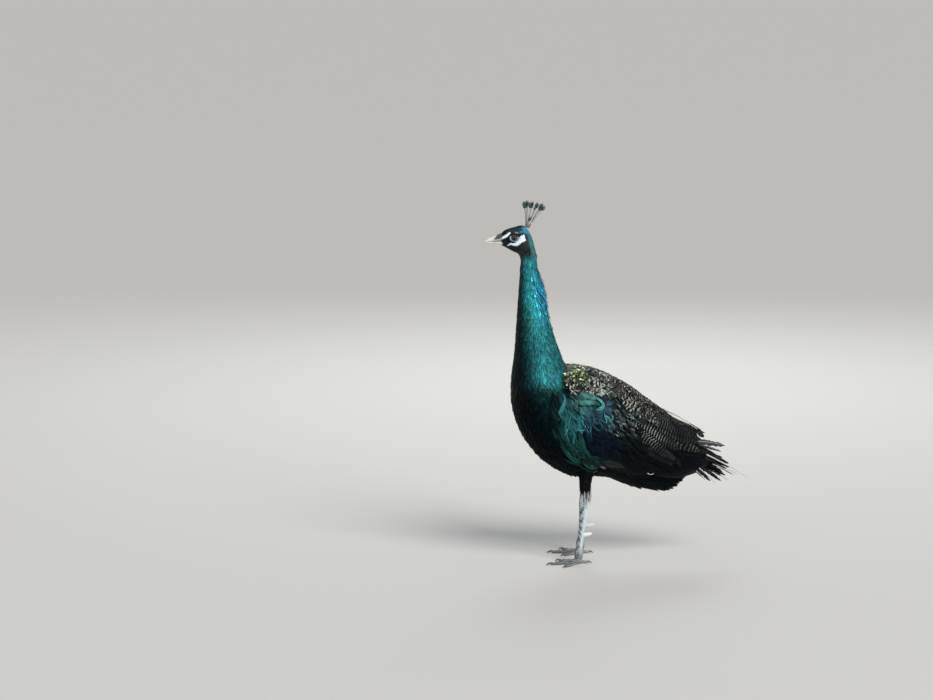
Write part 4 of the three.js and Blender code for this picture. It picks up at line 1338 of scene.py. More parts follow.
def growCoverts(name, side):
    # navy feathers, turquoise to the front, with narrow dusty grey ones to the rear
    def inside(p):
        x, z = sideX(p), sideZ(p)
        rear = np.interp(z, [292, 330, 400, 430], [152, 150, 132, 110])
        return (pastFront(p) > 2) & (z > 270) & (z < 436) & (x < rear)

    look = coverts
    u, v, p = scatter(look["spacing"], inside, side)
    n = len(u)
    x, z = sideX(p), sideZ(p) - 10
    way = jitterWay(heading(p, np.interp(x, [-20, 40, 110], [-1.9, -1.05, -0.75])), 0.16)
    length = np.interp(z, [270, 380, 450], [38, 30, 24])
    high = smooth(326, 352, z)
    tint = look["tint"] + high[:, None] * look["high"] + spot(x, z, (-10, 395), (22, 26)) * look["green"]
    shine = (0.10 + 0.30 * high) * (rng.random(n) < 0.5)
    grey = rng.random(n) < smooth(62, 86, x)
    light = rng.random(n) < 0.22 * high + 0.08 + 0.30 * smooth(108, 140, x)
    dusty = look["dusty"] + (light * smooth(300, 345, z))[:, None] * look["dustyLight"]
    tint = np.where(grey[:, None], dusty, tint) * rng.uniform(0.5, 1.7, (n, 1))
    rim = np.where(grey[:, None], look["dustyRim"], look["rim"])
    shine = np.where(grey, 0.45 * high * (rng.random(n) < 0.3), shine)
    length = np.where(grey, 0.8 * length, length)
    width = np.where(grey, look["dustyWidth"], look["width"])
    roots = wingRoots(u, v, way, length, width, -5.6, -2.8, tint, 0.0, rim, shine, cup=0.2)
    growVanes(name + "_covert_feathers", "wing_feathers", roots, (8, 6), silkFinish, [name + "_coverts"])


scapulars = {
    "spacing": 7.4, "width": 13, "tint": (0.0058, 0.0062, 0.0064), "pale": (0.20, 0.22, 0.19),
    "olive": (0.05, 0.10, 0.08), "rim": (0.42, 0.46, 0.41),
    "thinSpacing": 10.5, "thinWidth": 5.5, "thinLong": 17, "thin": (0.0040, 0.0070, 0.0080),
    "thinPale": (0.070, 0.085, 0.082), "thinRim": (0.10, 0.13, 0.13),
}


def overShoulder(p):
    # how far a point is above the lower edge of the scapulars, in the side view
    reach = [-46, -22, 20, 40, 60, 80, 100, 120, 140, 160, 200]
    return sideZ(p) - np.interp(sideX(p), reach, [440, 420, 422, 417, 414, 415, 402, 380, 358, 348, 338])


def growScapulars(name, side):
    # mottled feathers over the shoulder, palest where they meet the back, and olive at their lower edge
    def inside(p):
        return (sideX(p) > -42) & (sideX(p) < 182) & (overShoulder(p) > 5) & (wedgeOf(p) > -6)

    def strewn(p):
        return (sideX(p) > 62) & (sideX(p) < 150) & (sideZ(p) > 318) & (overShoulder(p) < 4)

    look = scapulars
    u, v, p = scatter(look["spacing"], inside, side)
    x, z = sideX(p) + 8, sideZ(p) - 6
    way = jitterWay(heading(p, np.interp(x, [-30, 40, 160], [-0.35, -0.45, -0.55])), 0.30)
    length = np.interp(x, [-30, 40, 160], [15, 21, 28])
    pale = spot(x, z, (46, 440), (30, 26))
    lot = rng.random((len(u), 1))
    tint = look["tint"] * (0.4 + 1.6 * lot) + pale * lot**2 * look["pale"]
    tint = tint + spot(x, z, (46, 421), (26, 9)) * lot * look["olive"]
    places = [-40, 0, 25, 70, 80, 97, 108, 134, 148, 185]
    mark = np.clip(-0.15 + 1.5 * rng.random(len(u)), 0.06, 1)
    mark = mark * np.interp(x, places, [0.9, 0.6, 1.0, 0.9, 0.12, 0.12, 0.75, 0.8, 0.5, 0.4])
    shine = np.where(pale[:, 0] > 0.35, 0.8, 0.4) * (rng.random(len(u)) < 0.4)
    roots = wingRoots(u, v, way, length, look["width"], -2.4, 0.4, tint, mark, look["rim"], shine,
                      spread=0.35)
    # thin flecked ones strewn over the dusty coverts below them
    u, v, p = scatter(look["thinSpacing"], strewn, side)
    way = jitterWay(heading(p, -0.95), 0.28)
    lot = rng.random((len(u), 1))
    tint = look["thin"] + lot**3 * look["thinPale"]
    mark = 0.55 * rng.random(len(u)) * (rng.random(len(u)) < 0.6) * smooth(318, 350, sideZ(p))
    thin = wingRoots(u, v, way, look["thinLong"], look["thinWidth"], -4.6, -1.6, tint, mark,
                     look["thinRim"], 0.4,
                     bend=0.2, spread=0.35)
    for key, value in roots.items():
        roots[key] = np.concatenate([value, thin[key]]) if np.ndim(value) else value
    growVanes(name + "_scapular_feathers", "scapular_feathers", roots, (7, 4), mottledFinish,
              [name + "_scapulars"])


for wingName, wingSide in (("wing_left", -1), ("wing_right", 1)):
    for growLayer in (growPrimaries, growSecondaries, growTertials, growCoverts, growScapulars):
        growLayer(wingName, wingSide)
print("wings are laid")

mantle = {
    "goldSpacing": 3.7, "goldDark": (0.012, 0.017, 0.009), "gold": (0.36, 0.50, 0.15),
    "goldRim": (0.24, 0.34, 0.10),
    "spacing": 7.6, "tint": (0.010, 0.011, 0.010), "green": (0.010, 0.028, 0.014), "pale": (0.18, 0.19, 0.17),
    "rim": (0.09, 0.13, 0.05),
}


def growMantle():
    # gold scales on the root of the neck, a quarter of them with a painted highlight, then mottled and
    # bronze-green ones down the back
    def strip(p):
        return (wedgeOf(p) < 9) & hasHeight(p)

    def collar(p):
        return hasHeight(p) & (p[..., 0] > -50) & (sideX(p) < 9) & (strip(p) | (sideZ(p) > 453))

    def spine(p):
        return strip(p) & (p[..., 0] > 6) & (p[..., 0] < 300)

    look = mantle
    u, v, p = bothSides(lambda side: scatter(look["goldSpacing"], collar, side, 16000))
    n, x = len(u), p[:, 0]
    way = jitterWay(heading(p, np.interp(x, [-40, 20], [-0.25, -0.40])), 0.2)
    near = smooth(8, -14, sideX(p)) * smooth(450, 462, sideZ(p))
    bright = np.clip(rng.random(n) * 2.0 - 1.1 + 0.45 * near, 0, 1)[:, None] ** 1.1
    # a quarter of the gold scales get a painted highlight on top of their colour
    tint = mix(look["goldDark"], look["gold"], bright[:, 0]) + 0.20 * (rng.random((n, 1)) < 0.25) * bright
    length = np.interp(x, [-48, 14], [5.6, 8.6])
    roots = wingRoots(u, v, way, length, length * 0.8, -1.6, 1.4, tint, 0.0, look["goldRim"], 0.3, spread=0.4)
    growVanes("mantle_gold_feathers", "breast_feathers", roots, (5, 4), goldVane)

    u, v, p = bothSides(lambda side: scatter(look["spacing"], spine, side))
    n, x = len(u), p[:, 0]
    way = jitterWay(heading(p, np.interp(x, [0, 60, 300], [-0.40, -0.48, -0.60])), 0.16)
    middle = smooth(20, 6, np.abs(p[:, 1])) * smooth(10, 60, x) * smooth(230, 130, x)
    length = np.interp(x, [0, 60, 160, 300], [14, 18, 24, 30])
    lot = rng.random((n, 1))
    tint = mix(look["tint"], look["green"], middle) + hill(sideX(p), 44, 28)[:, None] * lot**2 * look["pale"]
    mark = (1 - 0.8 * middle) * rng.uniform(0.3, 1.0, n) * np.interp(x, [140, 200], [1.0, 0.15])
    roots = wingRoots(u, v, way, length, length * 0.72, -1.8, 1.4, tint, mark, look["rim"], 0.7 * middle,
                      spread=0.4)
    growVanes("mantle_feathers", "scapular_feathers", roots, (6, 4), mottledFinish)


flank = {
    "spacing": 8.0, "width": 12.0, "bright": (0.018, 0.110, 0.125),
    # the tint at the heights in the side view
    "heights": (225, 265, 300, 345, 400), "red": (0.003, 0.005, 0.004, 0.008, 0.007),
    "green": (0.015, 0.030, 0.030, 0.050, 0.036), "blue": (0.014, 0.025, 0.029, 0.054, 0.042),
}


def flankTint(x, z):
    # brightest under the bend of the wing, darker towards the breast and the thigh
    base = np.stack([np.interp(z, flank["heights"], flank[label]) for label in ("red", "green", "blue")],
                    axis=-1)
    base = base * (0.18 + 0.82 * smooth(-72, -40, x))[:, None]
    return base + spot(x, z, (-20, 366), (19, 34)) * flank["bright"]


def growFlank():
    # long soft feathers that sweep from the breast over the front of the wing and the thigh
    def flow(p):
        heights = [222, 240, 255, 270, 300, 340, 380, 430]
        return heading(p, np.interp(sideZ(p), heights, [-0.35, -0.5, -0.9, -1.3, -2.0, -4.0, -5.0, -3.0]))

    def inside(p):
        past, z = pastFront(p), sideZ(p)
        return (past > -56) & (past < 3) & (z > 250) & (z < 428) & (sideX(p) > -74)

    u, v, p = bothSides(lambda side: scatter(flank["spacing"], inside, side))
    n, outer = len(u), smooth(-50, -8, pastFront(p))
    length = np.interp(sideZ(p), [250, 290, 330, 420], [34, 50, 56, 44])
    tint = flankTint(sideX(p) + 4, sideZ(p) - 0.5 * length)
    shine = (rng.random(n) < 0.5) * rng.random(n)
    roots = wingRoots(u, v, jitterWay(flow(p), 0.12), length, flank["width"], -15 + 8 * outer,
                      -3.4 + 4.4 * outer,
                      tint, 0.0, np.clip(tint * 3.2, 0, 0.5), shine, bend=0.1, cup=1.1, spread=0.5)
    growVanes("flank_feathers", "breast_feathers", roots, (13, 4), silkFinish,
              outline=lambda s: plumeOutline(s, 0.30, 0.40, 0.50, 1.5), flow=flow)


# Single soft feathers that lie loose over the wing.
ribbonTable = [
    # path in the side view, width, colour, colour of the rim, how high it ends
    ([(22, 421), (36, 413), (48, 406), (57, 396), (56, 387), (48, 383), (40, 386)],
     7.0, (0.11, 0.42, 0.39), (0.18, 0.56, 0.53), 3.4),
    ([(34, 408), (42, 398), (50, 390)], 6.0, (0.028, 0.115, 0.105), (0.06, 0.22, 0.20), 2.4),
    ([(61, 377), (62, 364), (66, 352), (63, 345)], 3.0, (0.10, 0.34, 0.33), (0.13, 0.45, 0.42), 3.0),
    ([(66, 368), (72, 360), (76, 352)], 2.4, (0.10, 0.34, 0.33), (0.13, 0.45, 0.42), 2.8),
    ([(82, 372), (84, 362), (77, 353), (70, 349)], 2.4, (0.08, 0.26, 0.26), (0.13, 0.45, 0.42), 2.6),
    ([(72, 350), (74, 330)], 1.8, (0.06, 0.16, 0.20), (0.1, 0.3, 0.3), 2.4),
    ([(-42, 425), (-37, 410), (-40, 396), (-47, 382), (-50, 364)],
     8.5, (0.055, 0.25, 0.28), (0.14, 0.46, 0.46), 2.8),
    ([(-14, 412), (-9, 398), (-14, 384)], 9.0, (0.050, 0.120, 0.108), (0.10, 0.22, 0.20), 2.0),
    ([(-26, 386), (-21, 366), (-25, 348), (-20, 328)], 8.0, (0.030, 0.150, 0.160), (0.08, 0.30, 0.30), 2.4),
    ([(-36, 370), (-33, 352), (-37, 336)], 6.0, (0.028, 0.150, 0.160), (0.08, 0.30, 0.30), 2.4),
    ([(-9, 384), (-14, 362), (-8, 342), (-12, 322)], 7.0, (0.022, 0.110, 0.130), (0.06, 0.24, 0.26), 2.4),
    ([(-6, 338), (0, 309), (8, 287), (19, 264)], 8.0, (0.012, 0.062, 0.060), (0.060, 0.21, 0.19), 3.4),
    ([(-50, 305), (-38, 285), (-24, 265), (-10, 254), (3, 254)],
     8.5, (0.012, 0.075, 0.060), (0.085, 0.28, 0.23), 3.4),
    ([(-44, 259), (-30, 250), (-14, 244), (5, 240)], 6.5, (0.005, 0.036, 0.032), (0.045, 0.16, 0.14), 2.6),
    ([(-6, 252), (8, 248), (21, 240), (34, 232), (50, 239)],
     14.0, (0.028, 0.130, 0.100), (0.085, 0.29, 0.23), 3.8),
    ([(-8, 239), (9, 231), (26, 221), (41, 219)], 6.5, (0.006, 0.034, 0.028), (0.045, 0.15, 0.12), 3.0),
    ([(-42, 313), (-25, 297), (-8, 284)], 8.0, (0.008, 0.052, 0.048), (0.045, 0.17, 0.15), 2.8),
    ([(-71, 339), (-61, 323), (-54, 312)], 5.5, (0.008, 0.036, 0.036), (0.03, 0.10, 0.10), 1.8),
    ([(16, 263), (34, 256), (54, 247)], 18.0, (0.010, 0.032, 0.031), (0.03, 0.09, 0.08), 1.4),
    ([(45, 239), (57, 234), (66, 228)], 5.0, (0.19, 0.13, 0.15), (0.26, 0.22, 0.22), 4.4),
    ([(27, 221), (38, 218), (46, 224)], 3.5, (0.15, 0.10, 0.12), (0.20, 0.17, 0.17), 3.6),
]


def layRibbons(rows=20, cols=4):
    # each loose feather is a bundle of three narrow strips with thin strands beside them
    points, vane, tint, rim = [], [], [], []
    across = np.linspace(-1, 1, cols + 1)
    s = np.linspace(0, 1, rows + 1)
    wideBundle = [
        (-0.26, 0.42, 0.0), (0.0, 0.46, 0.5), (0.27, 0.40, 0.2), (-0.46, 0.07, 0.9), (0.50, 0.07, 0.7),
    ]
    thinBundle = [(-0.15, 0.62, 0.2), (0.35, 0.30, 0.4)]
    for side in (-1, 1):
        for path, width, colour, edge, high in ribbonTable:
            for off, share, over in thinBundle if width < 4 else wideBundle:
                start, stop = 0.14 * rng.random(), 1 - 0.16 * rng.random()
                line = throughPoints(path, start + (stop - start) * s)
                u, v = findOn(wingSkin, line[:, 0], line[:, 1], side)
                middle = sample(wingSkin, "p", u, v)
                normal = unit(sample(wingSkin, "n", u, v))
                aside = unit(np.cross(normal, unit(np.gradient(middle, axis=0))))
                half = width * share / 2 * plumeOutline(s, 0.12, 0.35, 0.35, 1.3)
                half = half * (1 + 0.15 * np.sin(9 * s + 6 * rng.random()))
                wander = width * (off + 0.10 * np.sin(5 * s + 6 * rng.random())) * (0.45 + 0.75 * s)
                span = wander[:, None] + np.maximum(half, 0.12)[:, None] * across
                rise = (-1.5 + (high + over + 1.5) * np.minimum(s * 2.5, 1.0))[:, None] - 0.5 * across**2
                rise -= 8 * smooth(280, 236, line[:, 1])[:, None]  # the lowest ones hug the belly
                grid = middle[:, None] + aside[:, None] * span[..., None]
                points.append(grid + normal[:, None] * rise[..., None])
                length = np.linalg.norm(np.diff(middle, axis=0), axis=-1).sum() / 100
                vane.append(np.stack(np.broadcast_arrays(s[:, None], across[None], length), axis=-1))
                bright = rng.uniform(0.5, 1.3) if share > 0.1 else rng.uniform(1.0, 2.0)
                tint.append((*(np.array(colour) * bright), 0.0))
                rim.append((*edge, 0.5 * rng.random()))
    return np.array(points), np.array(vane), np.array(tint), np.array(rim)


strandTable = [
    # loose strands: middle and spread of the patch in the side view, slope, length, how many, colour
    ((22, 352), (30, 20), -1.6, 20, 26, (0.030, 0.110, 0.150)),
    ((2, 368), (12, 12), -2.2, 22, 10, (0.035, 0.170, 0.210)),
    ((-24, 362), (12, 26), -4.0, 30, 14, (0.045, 0.230, 0.260)),
    ((-22, 300), (18, 22), -1.3, 30, 10, (0.020, 0.100, 0.085)),
    ((70, 362), (9, 9), -1.4, 13, 6, (0.090, 0.330, 0.320)),
    ((100, 350), (22, 26), -1.2, 14, 26, (0.100, 0.140, 0.150)),
    ((56, 424), (22, 8), -0.6, 12, 14, (0.340, 0.390, 0.350)),
    ((-20, 431), (9, 7), -0.5, 9, 10, (0.340, 0.350, 0.320)),
    ((14, 335), (10, 12), -2.5, 24, 6, (0.025, 0.080, 0.120)),
]


def growStrands():
    parts = []
    for side in (-1, 1):
        for (cx, cz), (sx, sz), slope, long, count, colour in strandTable:
            px = cx + sx * rng.normal(size=count) * 0.6
            pz = cz + sz * rng.normal(size=count) * 0.6
            u, v = findOn(wingSkin, px, pz, side)
            way = jitterWay(heading(sample(wingSkin, "p", u, v), slope), 0.22)
            roots = wingRoots(u, v, way, long, 1.4, 0.8, 2.2, colour, 0.0, colour, 0.0, bend=0.35, cup=0.0,
                              spread=0.45)
            roots["bend"] = 0.75 * rng.normal(size=count)
            roots["length"] = roots["length"] * rng.uniform(0.6, 1.2, count)
            parts.append((*layVanes(wingSkin, roots, 9, 2), roots["tint"], roots["rim"]))
    laid = [np.concatenate(kind) for kind in zip(*parts)]
    vaneMesh("loose_strands", "wing_feathers", *laid, silkFinish, thick=0.25)


shoulder = {"tint": (0.034, 0.116, 0.102), "rim": (0.08, 0.30, 0.28), "layer": 0.25, "low": -1.2, "high": 1.2}
shoulderTable = [
    # soft green feathers at the bend of the wing: root, slope, length, width, tint, how bright the rim is
    (-12, 420, -0.75, 24, 13, 0.5, 0.25), (-2, 424, -0.55, 28, 14, 1.3, 0.35),
    (8, 423, -0.50, 28, 14, 0.8, 0.25), (16, 420, -0.60, 26, 14, 1.2, 0.30),
    (-6, 408, -0.95, 24, 13, 1.0, 0.25), (6, 408, -0.85, 26, 13, 1.5, 0.35),
    (18, 406, -0.80, 22, 12, 0.9, 0.30), (26, 404, -0.70, 20, 12, 0.6, 0.25),
]


def growShoulder():
    look, table = shoulder, np.array(shoulderTable)
    u, v = bothSides(lambda side: findOn(wingSkin, table[:, 0], table[:, 1], side))
    height = np.tile(np.arange(len(table)) * look["layer"], 2)
    table = np.tile(table, (2, 1))
    way = heading(sample(wingSkin, "p", u, v), table[:, 2])
    roots = wingRoots(u, v, way, table[:, 3], table[:, 4], look["low"] + height, look["high"] + height,
                      look["tint"] * table[:, 5:6], 0.0, look["rim"], table[:, 6], bend=0.35, cup=0.9,
                      spread=0.12)
    growVanes("shoulder_feathers", "wing_feathers", roots, (12, 8), silkFinish)


growMantle()
growFlank()
growShoulder()
vaneMesh("loose_feathers", "wing_feathers", *layRibbons(), silkFinish)
growStrands()
print("mantle and flanks are laid")


def growThigh(name):
    side, ankleX = legs[name]
    surface = surfaceOf(tubeAlong(thighStops(side, ankleX), 160, 96, 0.85))
    coat = {
        "slot": "thigh_feathers", "from": 0.12, "to": 0.97, "along": (5.2, -1.6), "aside": (5.4, -1.8),
        "longer": 3.0, "wider": 1.9, "uneven": 0.35, "map": (0, 1), "lift": 0.16, "seed": 21,
        "feather": down, "finish": thighFinish,
        "where": lambda p: p[..., 2] > 186 + 7 * np.sin(p[..., 0] * 0.9),
    }
    frill = {
        "slot": "thigh_feathers", "from": 0.62, "to": 0.985, "along": (5.0, 0), "aside": (3.2, 0),
        "jitter": 0.9,
        "longer": 4.4, "wider": 1.0, "uneven": 0.25, "hues": 0.02, "map": (0, 1), "lift": 0.10, "seed": 23,
        "feather": stump, "finish": frillFinish,
        "where": lambda p: p[..., 2] < 196 + 4 * np.sin(p[..., 0] * 1.3),
    }

    def streaked(p, u):
        return np.array(tints["frill"]) * np.where(rng.random((len(p), 1)) < 0.30, 0.12, 1.0)

    growCoat("coat_thigh_" + name, coat, surface, lambda p, u: np.tile(np.array(tints["thigh"]), (len(p), 1)))
    growCoat("frill_" + name, frill, surface, streaked)


thighFinish = featherMaterial("thighPlumage", 0.65, 0.0, edge=0.6, gloss=0.04)
frillFinish = featherMaterial("frillPlumage", 0.7, 0.0, edge=0.3, shaft=0.1, barb=0.5, gloss=0.2)
for legName in legs:
    growThigh(legName)



def barbedPlume(path, face, barbs, reach, angle, wide, shaft, colours):
    # path: points of the shaft; barbs: (place along, side) pairs; returns a part for plumeMesh
    rings = 18
    path = np.asarray(path, dtype=float)
    verts, faces = closedTube(tubeAlong(np.column_stack([path, np.linspace(*shaft, len(path))]), rings, 6))
    count = len(verts)
    verts, tint = [verts], [np.tile(np.asarray(colours[0]), (count, 1))]
    centre = throughPoints(path, np.linspace(0, 1, rings))
    way = unit(np.gradient(centre, axis=0))
    for s, hand in barbs:
        i = s * (rings - 1)
        k = min(int(i), rings - 2)
        root = centre[k] * (1 - i + k) + centre[k + 1] * (i - k)
        along = unit(way[k])
        side = unit(np.cross(along, face)) * hand
        long = reach(s) * (1 + 0.12 * rng.normal())
        lean = angle(s) + 0.06 * rng.normal()
        out = along * math.cos(lean) + side * math.sin(lean)
        droop = unit(face) * rng.normal() * 0.06
        strip = []
        for t, w in ((0, 0.5), (0.4, 1.0), (0.8, 0.8), (1.0, 0.15)):
            at = root + out * long * t + along * long * 0.14 * t * t + droop * long * t * t
            strip += [at - along * wide * w / 2, at + along * wide * w / 2]
        verts.append(np.array(strip))
        faces += [(a, a + 2, a + 3, a + 1) for a in range(count, count + 6, 2)]
        tint.append(np.tile(np.asarray(colours[1]) * math.exp(0.25 * rng.normal()), (8, 1)))
        count += 8
    return np.vstack(verts), faces, np.vstack(tint)


def plumeMesh(name, plumes, rough, metal=0.0, nodes=()):
    # each plume's part of the map is one cell of a grid
    parts = []
    columns = int(math.ceil(math.sqrt(len(plumes))))
    for index, (v, f, c) in enumerate(plumes):
        low, high = v.min(axis=0), v.max(axis=0)
        flat = (v - low)[:, [0, 2]] / np.maximum((high - low)[[0, 2]], 1e-6)
        place = (flat * 0.94 + 0.03 + np.array([index % columns, index // columns])) / columns
        parts.append((v, f, np.clip(c, 0, 1), [tuple(place[i]) for face in f for i in face]))
    grain, bump = (260.0, 3.0, 0.9, 0.55), (1500.0, 2.0, 0.3, 0.0003)
    setPiece(meshOf(name, parts), nodes, tintedMaterial(name + "Finish", grain, bump, rough, metal))


crest = {
    "x": -131, "z": 843, "tall": 65, "lean": -16, "spread": 41, "plumes": 20, "fan": 10, "wide": 1.5,
    "new": {11: 25, 13: 14},  # plumes that are still short, and their lengths
    "shaft": (0.13, 0.13, 0.11), "dark": (0.001, 0.010, 0.011), "glossy": (0.008, 0.070, 0.080),
    "pale": {6: (0.30, 0.34, 0.32), 13: (0.74, 0.80, 0.80)},
}


def makeCrest():
    plumes = []
    for i in range(crest["plumes"]):
        across = i / (crest["plumes"] - 1) - 0.5
        lean = math.radians(crest["lean"] - across * crest["spread"] + 3 * rng.normal())
        tall = crest["tall"] * (0.97 + 0.22 * max(across, 0) - 0.04 * ((i * 2) % 3) - 0.05 * rng.random())
        tall = crest["new"].get(i, tall)
        fan = 0.4 if i in crest["new"] else crest["fan"] / tall
        sway = 0.16 * ((i * 2) % 5 - 2) / 2
        way = unit(np.array([-math.sin(lean), sway, math.cos(lean)]))
        root = np.array([crest["x"] + across * 9, sway * 12, crest["z"] - 3 - 4 * across])
        bow = np.array([0.7 * across, 0.25 * sway, 0]) * 5
        path = [root, root + way * tall * 0.5 - bow, root + way * tall]
        turn = 0.7 * math.sin(2.4 * i)
        face = unit(np.array([math.sin(turn), math.cos(turn), 0.1]))
        barbs = [(1 - fan * (1 - k / 10), hand) for k in range(11) for hand in (-1, 1)]
        barbs += [(0.15 + 0.05 * k, 1 if k % 2 else -1) for k in range(int((0.85 - fan) / 0.05))]

        def intoFan(s, fan=fan):
            # from 0 at the root of the fan to 1 at its end, and less than 0 on the bare shaft
            return (s - 1 + fan) / fan if s > 1 - fan - 0.01 else -1

        def reach(s):
            return 6.5 * (0.75 + 0.4 * math.sin(math.pi * intoFan(s))) if intoFan(s) > -1 else 1.2

        def angle(s):
            return 1.0 - 0.85 * intoFan(s) if intoFan(s) > -1 else 0.6

        # every fifth plume is brighter: a painted glint on the dark fans
        colour = crest["pale"].get(i, crest["dark"] if i % 5 else crest["glossy"])
        wide = 2.6 if i == 13 else crest["wide"]
        colours = (crest["shaft"], colour)
        plumes.append(barbedPlume(path, face, barbs, reach, angle, wide, (0.5, 0.3), colours))
    plumeMesh("crest_plumes", plumes, 0.45, 0.3, ["crest"])


makeCrest()

# Each feather of the tail: root, tip, width of its dark web, how far the web runs, how pale its shaft is.
tailTable = [
    ((284, -33, 281), (430, -47, 201.5), 11, 0.60, 1.0), ((296, -32, 269), (391, -42, 228), 11, 0.78, 0.7),
    ((286, -30, 243), (345, -42, 189), 11, 0.72, 0.9), ((286, -29, 231), (318, -40, 199), 9, 0.80, 0.7),
    ((346, -40, 236), (390, -45, 212), 7, 0.9, 0.8),
    ((286, 4, 262), (414, 10, 200), 24, 0.75, 0.7), ((286, 14, 250), (394, 34, 180), 24, 0.80, 0.6),
    ((284, 22, 248), (356, 46, 190), 24, 0.88, 0.4), ((284, 0, 246), (372, 2, 184), 26, 0.92, 0.3),
    ((282, -8, 256), (378, -16, 204), 26, 0.95, 0.15), ((282, 10, 262), (384, 22, 222), 26, 0.95, 0.15),
    ((284, -2, 268), (388, -4, 224), 26, 0.97, 0.1), ((280, 8, 240), (344, 16, 184), 22, 0.95, 0.2),
    ((284, -12, 280), (384, -20, 236), 24, 0.97, 0.0), ((284, -14, 262), (366, -24, 216), 24, 0.97, 0.0),
    ((272, -34, 301), (368, -38, 287), 28, 0.98, 0.5), ((296, -36, 291), (358, -38, 272), 15, 0.98, 0.5),
]
tail = {
    "arch": 0.10, "web": (0.0050, 0.0052, 0.0060, 0.15), "worn": (0.045, 0.052, 0.054),
    "rim": (0.05, 0.05, 0.05, 0.3), "darkShaft": (0.012, 0.012, 0.012), "paleShaft": (0.52, 0.53, 0.53),
    "barb": (0.02, 0.02, 0.022),
}


def freeVanes(table, rows=22, cols=6):
    # feathers that lie in the air: grids of points with a ragged edge, and the paths of their shafts
    points, vane, paths = [], [], []
    across = np.linspace(-1, 1, cols + 1)
    s = np.linspace(0, 1, rows + 1)[:, None]
    for root, tip, width, until, _ in table:
        root, tip = np.array(root, dtype=float), np.array(tip, dtype=float)
        long = np.linalg.norm(tip - root)
        side = unit(np.cross(tip - root, np.array([0.25, 0.55 * np.sign(tip[1]), 1.0])))

        def arched(t):
            return root + (tip - root) * t + np.array([0, 0, tail["arch"]]) * long * t * (1 - t)

        paths.append(arched(s))
        ragged = 1 - 0.42 * rng.random((2, rows + 1))
        half = width / 2 * plumeOutline(s[:, 0], 0.30, 0.30, 0.42, 1.35) * ragged
        reach = np.where(across < 0, half[0][:, None], half[1][:, None]) * across
        aside = side * reach[..., None]
        swept = (unit(tip - root) * 0.5 - np.array([0, 0, 0.07])) * np.abs(reach)[..., None]
        points.append(arched(s * until)[:, None] + aside + swept)
        vane.append(np.stack(np.broadcast_arrays(s, across[None], long * until / 100), axis=-1))
    return np.array(points), np.array(vane), paths


def makeTail():
    points, vane, paths = freeVanes(tailTable)
    tint = np.tile(np.array(tail["web"]), (len(tailTable), 1))
    tint[-2:, :3] = tail["worn"]  # two worn grey ones lie on top
    rim = np.tile(np.array(tail["rim"]), (len(tailTable), 1))
    vaneMesh("tail_webs", "flight_feathers", points, vane, tint, rim, quillFinish)
    plumes = []
    for path, (_, tip, _, until, pale) in zip(paths, tailTable):
        loose = [(until * 0.8 + (0.97 - until * 0.8) * rng.random(), rng.choice([-1, 1])) for _ in range(10)]
        face = np.array([0.25, -0.3 * np.sign(tip[1]), 1.0])
        colours = (mix(tail["darkShaft"], tail["paleShaft"], pale), tail["barb"])
        thick = 1.1 + 1.3 * pale * min(1.0, np.linalg.norm(path[-1] - path[0]) / 110)
        shaft = path[::3] + np.array([0, -0.6, 0.8])
        plumes.append(barbedPlume(shaft, face, loose, lambda s: 5.0, lambda s: 0.5, 0.8,
                                  (thick, 0.45 + 0.35 * pale), colours))
    plumeMesh("tail_shafts", plumes, 0.45, nodes=["tail"])


makeTail()

quills = {
    # bare pale shafts along the top of the folded wings
    "paths": [
        [(212, -16, 381), (232, -17, 371), (255, -17, 360)],
        [(233, -22, 363), (259, -22, 350), (280, -20, 340), (301, -18, 327)],
        [(226, 12, 370), (266, 10, 350), (304, 8, 327)],
        [(262, 4, 348), (290, 3, 334), (316, 2, 317)],
    ],
    "barbs": 16, "thick": (1.7, 0.7), "colours": ((0.56, 0.56, 0.53), (0.06, 0.06, 0.06)),
}
tuft = {
    # one white tuft of down under each wing: where it shows in side view, its path, thickness and colours
    "at": (172, 217.5), "path": ((0, 0, 0), (8, 1.5, -3.4), (16, 1.0, -1.0)), "thick": (0.6, 0.25),
    "colours": ((0.75, 0.78, 0.78), (0.72, 0.76, 0.76)),
}


def makeQuills():
    plumes = []
    for path in quills["paths"]:
        barbs = [(0.1 + 0.8 * rng.random(), rng.choice([-1, 1])) for _ in range(quills["barbs"])]
        plumes.append(barbedPlume(path, np.array([0.5, 0, 1.0]), barbs, lambda s: 5.0, lambda s: 0.4, 0.8,
                                  quills["thick"], quills["colours"]))
    plumeMesh("back_quills", plumes, 0.4)


def makeDown():
    plumes = []
    for side in (-1, 1):
        u, v = findOn(wingSkin, *tuft["at"], side)
        root = sample(wingSkin, "p", u, v)[0] + np.array([0, side * 1.0, 0])
        path = [root + np.array([x, side * y, z]) for x, y, z in tuft["path"]]
        barbs = [(0.1 + 0.85 * k / 13, hand) for k in range(14) for hand in (-1, 1)]
        face = np.array([0, side * 1.0, 0.2])
        plumes.append(barbedPlume(path, face, barbs, lambda s: 1.0, lambda s: 0.7, 0.9, tuft["thick"],
                                  tuft["colours"]))
    plumeMesh("down_tuft", plumes, 0.7)


makeQuills()
makeDown()

